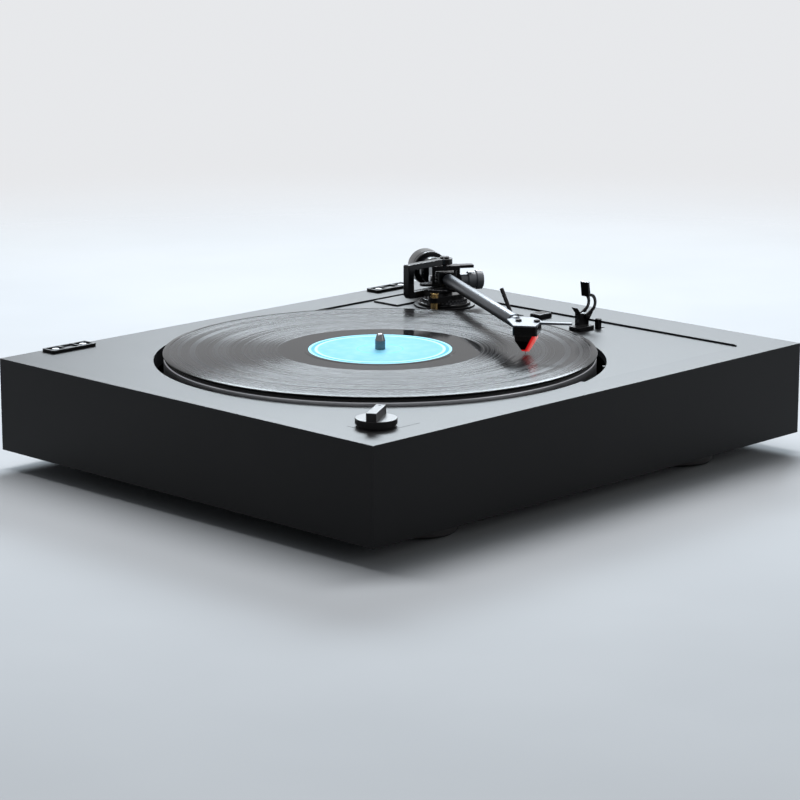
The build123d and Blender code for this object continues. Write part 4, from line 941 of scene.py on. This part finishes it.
@dataclass
class Kit:
    """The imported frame, the finishes already made, and what has been built so far."""

    frame: dict
    made: dict[Finish, bpy.types.Material] = field(default_factory=dict)
    count: int = 0

    def material(self, finish: Finish) -> bpy.types.Material:
        """Make a finish's material the first time it is asked for.

        Args:
            finish: The finish.

        Returns:
            Its material.
        """
        if finish not in self.made:
            self.made[finish] = finish.value.make()
        return self.made[finish]

    def dress_nodes(self) -> None:
        """Give every CAD node its finish."""
        for finish, nodes in NODE_FINISHES.items():
            for node in nodes:
                paint(self.frame["nodes"][node], self.material(finish))
                LOG.info("dressed %s in %s", node, finish.value.name)

    def add(
        self, piece: bpy.types.Object, body: str, slot: Slot, finish: Finish, *stands_for: str
    ) -> None:
        """Finish a piece and fix it to a body.

        Args:
            piece: The piece, already in place.
            body: The CAD body it moves with.
            slot: The record's material slot; not used.
            finish: Its finish.
            stands_for: CAD nodes it is shown instead of.
        """
        paint(piece, self.material(finish))
        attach(piece, body)
        if stands_for:
            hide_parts(*stands_for)
        self.count += 1
        LOG.info("made %s on %s in %s", piece.name, body, finish.value.name)

    def remake(self, name: str, node: str, edge: float, body: str, slot: Slot, finish: Finish) -> None:
        """Remake a CAD node as clean faces with softened edges, and add it in the node's place.

        Args:
            name: The new piece's name.
            node: The CAD node it starts from and stands for.
            edge: The softening in millimetres.
            body: The CAD body it moves with.
            slot: The record's material slot.
            finish: Its finish.
        """
        mesh = bmesh.new()
        mesh.from_mesh(self.frame["nodes"][node].data)
        bmesh.ops.scale(mesh, vec=(1 / MM,) * 3, verts=mesh.verts)
        bmesh.ops.remove_doubles(mesh, verts=mesh.verts, dist=MERGE_DISTANCE)
        flat = math.radians(FLAT_ANGLE)
        bmesh.ops.dissolve_limit(mesh, angle_limit=flat, verts=mesh.verts, edges=mesh.edges)
        piece = place_mesh(name, mesh, Matrix.Identity(4), SHARP_ANGLE)
        soften(piece, edge)
        self.add(piece, body, slot, finish, node)

    def middle(self, node: str) -> Vector:
        """Return the middle of a CAD node's box, in metres."""
        low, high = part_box(node)
        return (low + high) / 2

    def joint(self, name: str) -> dict:
        """Return one joint's row."""
        return next(row for row in self.frame["joints"] if row["name"] == name)


def paint(piece: bpy.types.Object, material: bpy.types.Material) -> None:
    """Give a piece one material all over."""
    piece.data.materials.clear()
    piece.data.materials.append(material)


# --------------------------------------------------------------------------- the parts
@dataclass
class Part:
    kit: Kit

    def build(self) -> None:
        """Make the sub-assembly's pieces."""
        raise NotImplementedError


@dataclass
class PlinthPart(Part):
    """Plinth, deck, armboard, hinge sockets and printed line."""

    plinth_edge: float = 0.4
    panel_edge: float = 0.25
    socket_edge: float = 0.2
    line_x: Point2 = (-189.7, -151.8)
    line_y: Point2 = (-160.7, -134.0)
    line_width: float = 0.4
    line_z: Point2 = (0.005, 0.03)

    def build(self) -> None:
        """Make the plinth's pieces."""
        kit, black = self.kit, Slot.SATIN_BLACK
        kit.remake("plinth_shell", "plinth", self.plinth_edge, "root", black, Finish.PLINTH)
        kit.remake("deck_panel", "deck_plate", self.panel_edge, "root", black, Finish.DECK)
        kit.remake("arm_board", "armboard", self.panel_edge, "root", black, Finish.DECK)
        for side in ("left", "right"):
            node = f"hinge_socket_{side}"
            kit.remake(f"socket_{side}", node, self.socket_edge, "root", Slot.BLACK_PLASTIC, Finish.DECK)
        kit.add(self.printed_line(), "root", Slot.WHITE_METAL, Finish.PRINT)

    def printed_line(self) -> bpy.types.Object:
        """Make the thin L-shaped line round the speed knob.

        Returns:
            The line.
        """
        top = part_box("plinth")[1].z / MM
        (left, right), (front, back), width = self.line_x, self.line_y, self.line_width
        inner = [(left + width, back), (left + width, front + width), (right, front + width)]
        outline = [(left, back), *inner, (right, front), (left, front)]
        return plate("printed_line", outline, top + self.line_z[0], top + self.line_z[1], Matrix.Identity(4))


@dataclass
class PlatterPart(Part):
    """Platter, mat, record, label and spindle, as (radius, height) sections."""

    casting: Section = Section(
        ((20.2, 71.4), (141.0, 71.4), (141.0, 59.4), (150.0, 59.4), (150.0, 79.4), (3.6, 79.4), (3.6, 71.4)),
        ((2, 0.6), (3, 0.8), (4, 0.8)),
    )
    mat: Section = Section(((4.2, 79.4), (148.0, 79.4), (148.0, 81.4), (4.2, 81.4)), ((2, 0.4),))
    # close pairs of points keep each shallow step from tilting the shading of the grooves
    record: Section = Section(
        (
            (3.61, 81.4),
            (150.6, 81.4),
            (150.6, 82.95),
            (147.3, 83.4),
            (147.1, 83.4),
            (147.0, 83.25),
            (146.8, 83.25),
            (53.3, 83.25),
            (53.1, 83.25),
            (53.0, 83.4),
            (52.8, 83.4),
            (50.35, 83.4),
            (50.15, 83.4),
            (50.05, 83.25),
            (49.85, 83.25),
            (3.61, 83.25),
        ),
        ((1, 0.7), (2, 0.5)),
    )
    label: Section = Section(((3.61, 83.26), (49.95, 83.26), (49.95, 83.4), (3.61, 83.4)))
    spindle: Section = Section(
        (
            (0.0, 21.0),
            (2.4, 21.4),
            (5.0, 23.5),
            (5.0, 71.4),
            (3.57, 71.4),
            (3.57, 89.4),
            (2.57, 93.2),
            (1.57, 94.1),
            (0.0, 94.4),
        ),
        ((5, 1.5), (6, 0.8), (7, 0.4)),
    )

    def build(self) -> None:
        """Make the pieces that turn on the spindle."""
        x, y, _ = self.kit.joint("platter_turn")["pos_m"]
        at = Matrix.Translation((x, y, 0.0))
        rows = (
            ("platter_casting", self.casting, 256, Slot.ALUMINIUM, Finish.PLATTER, "platter"),
            ("mat_disc", self.mat, 256, Slot.RUBBER, Finish.RUBBER, "platter_mat"),
            ("record_disc", self.record, 360, Slot.VINYL, Finish.VINYL, "record"),
            ("label_disc", self.label, 256, Slot.LABEL, Finish.LABEL, "record_label"),
            ("spindle_pin", self.spindle, 96, Slot.STEEL, Finish.SPINDLE, "spindle_shaft"),
        )
        for name, section, segments, slot, finish, node in rows:
            self.kit.add(turned(name, section, at, segments), "platter", slot, finish, node)


@dataclass
class ControlsPart(Part):
    """Speed knob, start slider and size switch."""

    knob_edge: float = 0.25
    slider_edge: float = 0.2

    def build(self) -> None:
        """Make the controls."""
        remake, edge, plastic = self.kit.remake, self.slider_edge, Slot.BLACK_PLASTIC
        remake("knob_body", "speed_knob", self.knob_edge, "speed_knob", Slot.GLOSS_BLACK, Finish.KNOB)
        remake("slider_block", "start_slider", edge, "start_slider", plastic, Finish.GLOSS)
        remake("switch_cube", "size_switch", edge, "size_switch", plastic, Finish.GLOSS)


@dataclass
class ArmBasePart(Part):
    """What holds the arm up: base, height ring, bracket, screws, lift and rest."""

    casting_edge: float = 0.3
    bracket_edge: float = 0.5
    screw_edge: float = 0.15
    lever_edge: float = 0.2
    clip_edge: float = 0.25
    ring: Section = Section(((15.5, 2.2), (17.5, 2.2), (17.5, 5.0), (15.5, 5.0)), ((1, 0.3), (2, 0.3)), 2)
    ring_flutes: tuple[int, float] = (36, 0.4)
    sleeve: Section = Section(
        (
            (1.54, -16.0),
            (2.8, -16.0),
            (2.8, 9.0),
            (3.3, 9.0),
            (3.3, 10.4),
            (2.8, 10.4),
            (2.8, 11.2),
            (3.3, 11.2),
            (3.3, 12.5),
            (1.54, 12.5),
        ),
        ((8, 0.4),),
    )

    def build(self) -> None:
        """Make the pieces round the arm's pivot and its rest."""
        kit, metal, plastic = self.kit, Slot.BLACK_METAL, Slot.BLACK_PLASTIC
        x, y, _ = kit.joint("arm_swing")["pos_m"]
        at = Matrix.Translation((x, y, PLINTH_TOP))
        kit.remake("base_turret", "arm_base", self.casting_edge, "root", metal, Finish.METAL)
        collar = turned("height_collar", self.ring, at, 288, self.ring_flutes)
        kit.add(collar, "root", metal, Finish.TURNED_BLACK, "height_ring")
        kit.remake("c_bracket", "arm_bracket", self.bracket_edge, "root", metal, Finish.METAL)
        kit.remake("pivot_heads", "pivot_screws", self.screw_edge, "root", Slot.STEEL, Finish.METAL)
        centre = kit.middle("lift_cylinder")
        sleeve = turned("lift_sleeve", self.sleeve, Matrix.Translation((centre.x, centre.y, PLINTH_TOP)), 72)
        kit.add(sleeve, "root", Slot.BRASS, Finish.BRASS, "lift_cylinder")
        kit.remake("platform_arc", "lift_platform", self.casting_edge, "lift_platform", metal, Finish.METAL)
        kit.remake("lever_stick", "lift_lever", self.lever_edge, "lift_lever", plastic, Finish.GLOSS)
        kit.remake("rest_post", "arm_rest", self.casting_edge, "root", metal, Finish.METAL)
        kit.remake("clip_hook", "rest_clip", self.clip_edge, "rest_clip", plastic, Finish.GLOSS)


@dataclass
class TonearmPart(Part):
    """Yoke, gimbal, tube, headshell, cartridge, counterweight and force dial."""

    yoke_edge: float = 0.3
    gimbal_edge: float = 0.35
    head_edge: float = 0.3
    screw_edge: float = 0.15
    stylus_edge: float = 0.35
    tube: Section = Section(((3.8, 12.0), (4.6, 12.0), (4.6, 191.0), (3.8, 191.0)), ((1, 0.3), (2, 0.3)))
    weight: Section = Section(
        (
            (4.3, 62.0),
            (4.3, 57.0),
            (5.53, 57.0),
            (5.53, 30.0),
            (10.5, 30.0),
            (10.5, 41.6),
            (10.0, 42.0),
            (13.5, 42.0),
            (13.5, 46.0),
            (13.1, 46.3),
            (13.1, 46.9),
            (13.5, 47.2),
            (13.5, 62.0),
            (11.0, 62.0),
            (10.6, 61.4),
            (6.2, 61.4),
            (5.8, 62.0),
        ),
        ((4, 1.8), (7, 0.8), (12, 0.8)),
    )
    dial: Section = Section(
        (
            (3.05, 12.0),
            (5.0, 12.0),
            (5.0, 17.5),
            (6.0, 18.0),
            (6.5, 18.2),
            (6.5, 23.6),
            (6.1, 24.0),
            (7.3, 24.6),
            (7.3, 29.0),
            (6.0, 29.4),
            (6.0, 29.8),
            (0.0, 29.8),
            (0.0, 28.8),
            (3.05, 28.8),
        ),
        ((1, 0.3), (7, 0.3), (8, 0.4), (10, 0.15)),
    )

    def build(self) -> None:
        """Make the arm's pieces."""
        kit, metal = self.kit, Slot.BLACK_METAL
        origin = Vector(kit.joint("arm_swing")["pos_m"])
        along = Vector(kit.joint("weight_slide")["axis"]).normalized()
        flat = Vector((along.x, along.y, 0.0)).normalized()
        side = Vector((-flat.y, flat.x, 0.0))
        dial_at = frame_of(Vector(kit.joint("force_dial_turn")["pos_m"]), Vector((0.0, 0.0, 1.0)), side)
        kit.remake("yoke_frame", "arm_yoke", self.yoke_edge, "yoke", metal, Finish.METAL)
        kit.remake("gimbal", "gimbal_block", self.gimbal_edge, "arm", metal, Finish.METAL)
        tube = turned("tube", self.tube, frame_of(origin, side, along), 96)
        kit.add(tube, "arm", Slot.ALUMINIUM, Finish.TUBE, "arm_tube")
        kit.remake("head_plate", "headshell", self.head_edge, "arm", Slot.WHITE_METAL, Finish.WHITE)
        kit.remake("head_fixings", "head_screws", self.screw_edge, "arm", Slot.STEEL, Finish.GLOSS)
        kit.remake("cartridge", "cartridge_body", self.head_edge, "arm", Slot.BLACK_PLASTIC, Finish.GLOSS)
        kit.remake("stylus_body", "stylus_unit", self.stylus_edge, "arm", Slot.RED, Finish.RED)
        weight = turned("weight_body", self.weight, frame_of(origin, side, -along), 144)
        kit.add(weight, "counterweight", metal, Finish.METAL, "counterweight")
        dial = turned("dial_body", self.dial, dial_at, 180)
        kit.add(dial, "force_dial", metal, Finish.DIAL_GREY, "force_dial")


@dataclass
class RearPart(Part):
    """Terminal plate in the rear recess."""

    plate_edge: float = 0.2

    def build(self) -> None:
        """Make the rear piece."""
        edge, slot = self.plate_edge, Slot.BLACK_METAL
        self.kit.remake("terminal_panel", "terminal_plate", edge, "root", slot, Finish.METAL)


# --------------------------------------------------------------------------- the studio
@dataclass(frozen=True)
class Lamp:
    """A soft rectangular light that the camera doesn't see."""

    name: str
    place: Point3
    aim: Point3
    size: Point2
    power: float
    colour: Colour = (1.0, 1.0, 1.0)

    def make(self) -> None:
        """Add the lamp to the scene."""
        data = bpy.data.lights.new(self.name, "AREA")
        data.shape = "RECTANGLE"
        data.size, data.size_y = self.size
        data.energy = self.power
        data.color = self.colour
        lamp = bpy.data.objects.new(self.name, data)
        lamp.location = self.place
        aim = Vector(self.aim) - Vector(self.place)
        lamp.rotation_mode = "QUATERNION"
        lamp.rotation_quaternion = aim.to_track_quat("-Z", "Y")
        lamp.visible_camera = False
        bpy.context.scene.collection.objects.link(lamp)


LAMPS: tuple[Lamp, ...] = (
    Lamp("lamp_behind", (2.2, 1.85, 1.72), (0.0, 0.0, 0.08), (1.8, 0.8), 115.0, (0.84, 0.93, 1.0)),
    Lamp("lamp_above", (0.3, 0.45, 1.7), (0.0, 0.0, 0.05), (1.9, 0.35), 34.0, (0.97, 0.98, 1.0)),
    Lamp("lamp_front_right", (1.0, -1.9, 0.9), (0.0, -0.1, 0.05), (1.2, 0.8), 5.0),
)


@dataclass(frozen=True)
class Studio:
    """Pale floor and surroundings, soft lights and the camera."""

    pale: Colour = (0.80, 0.81, 0.83)
    dim: Colour = (0.9, 0.95, 1.0)
    dim_strength: float = 0.14
    floor_colours: tuple[Colour, Colour] = ((0.50, 0.52, 0.54), (0.53, 0.55, 0.57))
    floor_unseen: Colour = (0.26, 0.27, 0.29)
    floor_radius: float = 6000.0
    floor_drop: float = 0.0004
    floor_fade: Point2 = (0.55, 1.5)
    camera_place: Point3 = (-1.3879, -1.3522, 0.4838)
    camera_yaw: float = 45.639
    camera_pitch: float = 12.811
    lens: float = 127.0
    sensor: float = 36.0
    shift: float = -1.0 / 800.0
    reach: float = 60.0

    def floor(self) -> None:
        """Make the floor, which fades into the surroundings away from the object."""
        mesh = bmesh.new()
        bmesh.ops.create_circle(mesh, cap_ends=True, segments=96, radius=self.floor_radius)
        piece = place_mesh("floor", mesh, Matrix.Translation((0.0, 0.0, -self.floor_drop)))
        shade = Shade("pale_floor")
        mottle = shade.noise(4.0, 3.0)
        colour = shade.mix(mottle.ramp(0.3, 0.7), *self.floor_colours)
        seen = shade.principled(Base_Color=colour, Roughness=0.7 + mottle * 0.05, IOR=1.05)
        unseen = shade.node("ShaderNodeBsdfDiffuse", None, {"Color": self.floor_unseen})
        surface = shade.either(shade.shown(), unseen, seen)
        clear = shade.node("ShaderNodeBsdfTransparent")
        away = shade.radius().ramp(*self.floor_fade)
        paint(piece, shade.finish(shade.either(away, surface, clear)))

    def surroundings(self) -> None:
        """Make the surroundings: pale where they show, dimmer as a light."""
        shade = Shade("surroundings", True)
        pale = shade.node("ShaderNodeBackground", None, {"Color": self.pale, "Strength": 1.0})
        dim = shade.node("ShaderNodeBackground", None, {"Color": self.dim, "Strength": self.dim_strength})
        bpy.context.scene.world = shade.finish(shade.either(shade.shown(), dim, pale))

    def camera(self) -> None:
        """Place the camera low at the front left corner."""
        data = bpy.data.cameras.new("camera")
        data.lens = self.lens
        data.sensor_width = self.sensor
        data.shift_y = self.shift
        data.clip_end = self.reach
        camera = bpy.data.objects.new("camera", data)
        camera.location = self.camera_place
        yaw, pitch = math.radians(self.camera_yaw), math.radians(self.camera_pitch)
        level = math.cos(pitch)
        ahead = Vector((math.sin(yaw) * level, math.cos(yaw) * level, -math.sin(pitch)))
        camera.rotation_mode = "QUATERNION"
        camera.rotation_quaternion = ahead.to_track_quat("-Z", "Y")
        bpy.context.scene.collection.objects.link(camera)
        bpy.context.scene.camera = camera

    def build(self) -> None:
        """Make the whole studio."""
        self.floor()
        self.surroundings()
        for lamp in LAMPS:
            lamp.make()
        self.camera()
        bpy.context.scene.view_settings.view_transform = "Standard"


PARTS: tuple[type[Part], ...] = (PlinthPart, PlatterPart, ControlsPart, ArmBasePart, TonearmPart, RearPart)


def main() -> None:
    """Build the scene."""
    logging.basicConfig(level=logging.INFO, format="%(name)s: %(message)s")
    kit = Kit(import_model())
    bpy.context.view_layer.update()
    kit.dress_nodes()
    for part in PARTS:
        part(kit).build()
    Studio().build()
    LOG.info("%d pieces made", kit.count)


if __name__ == "__main__":
    main()
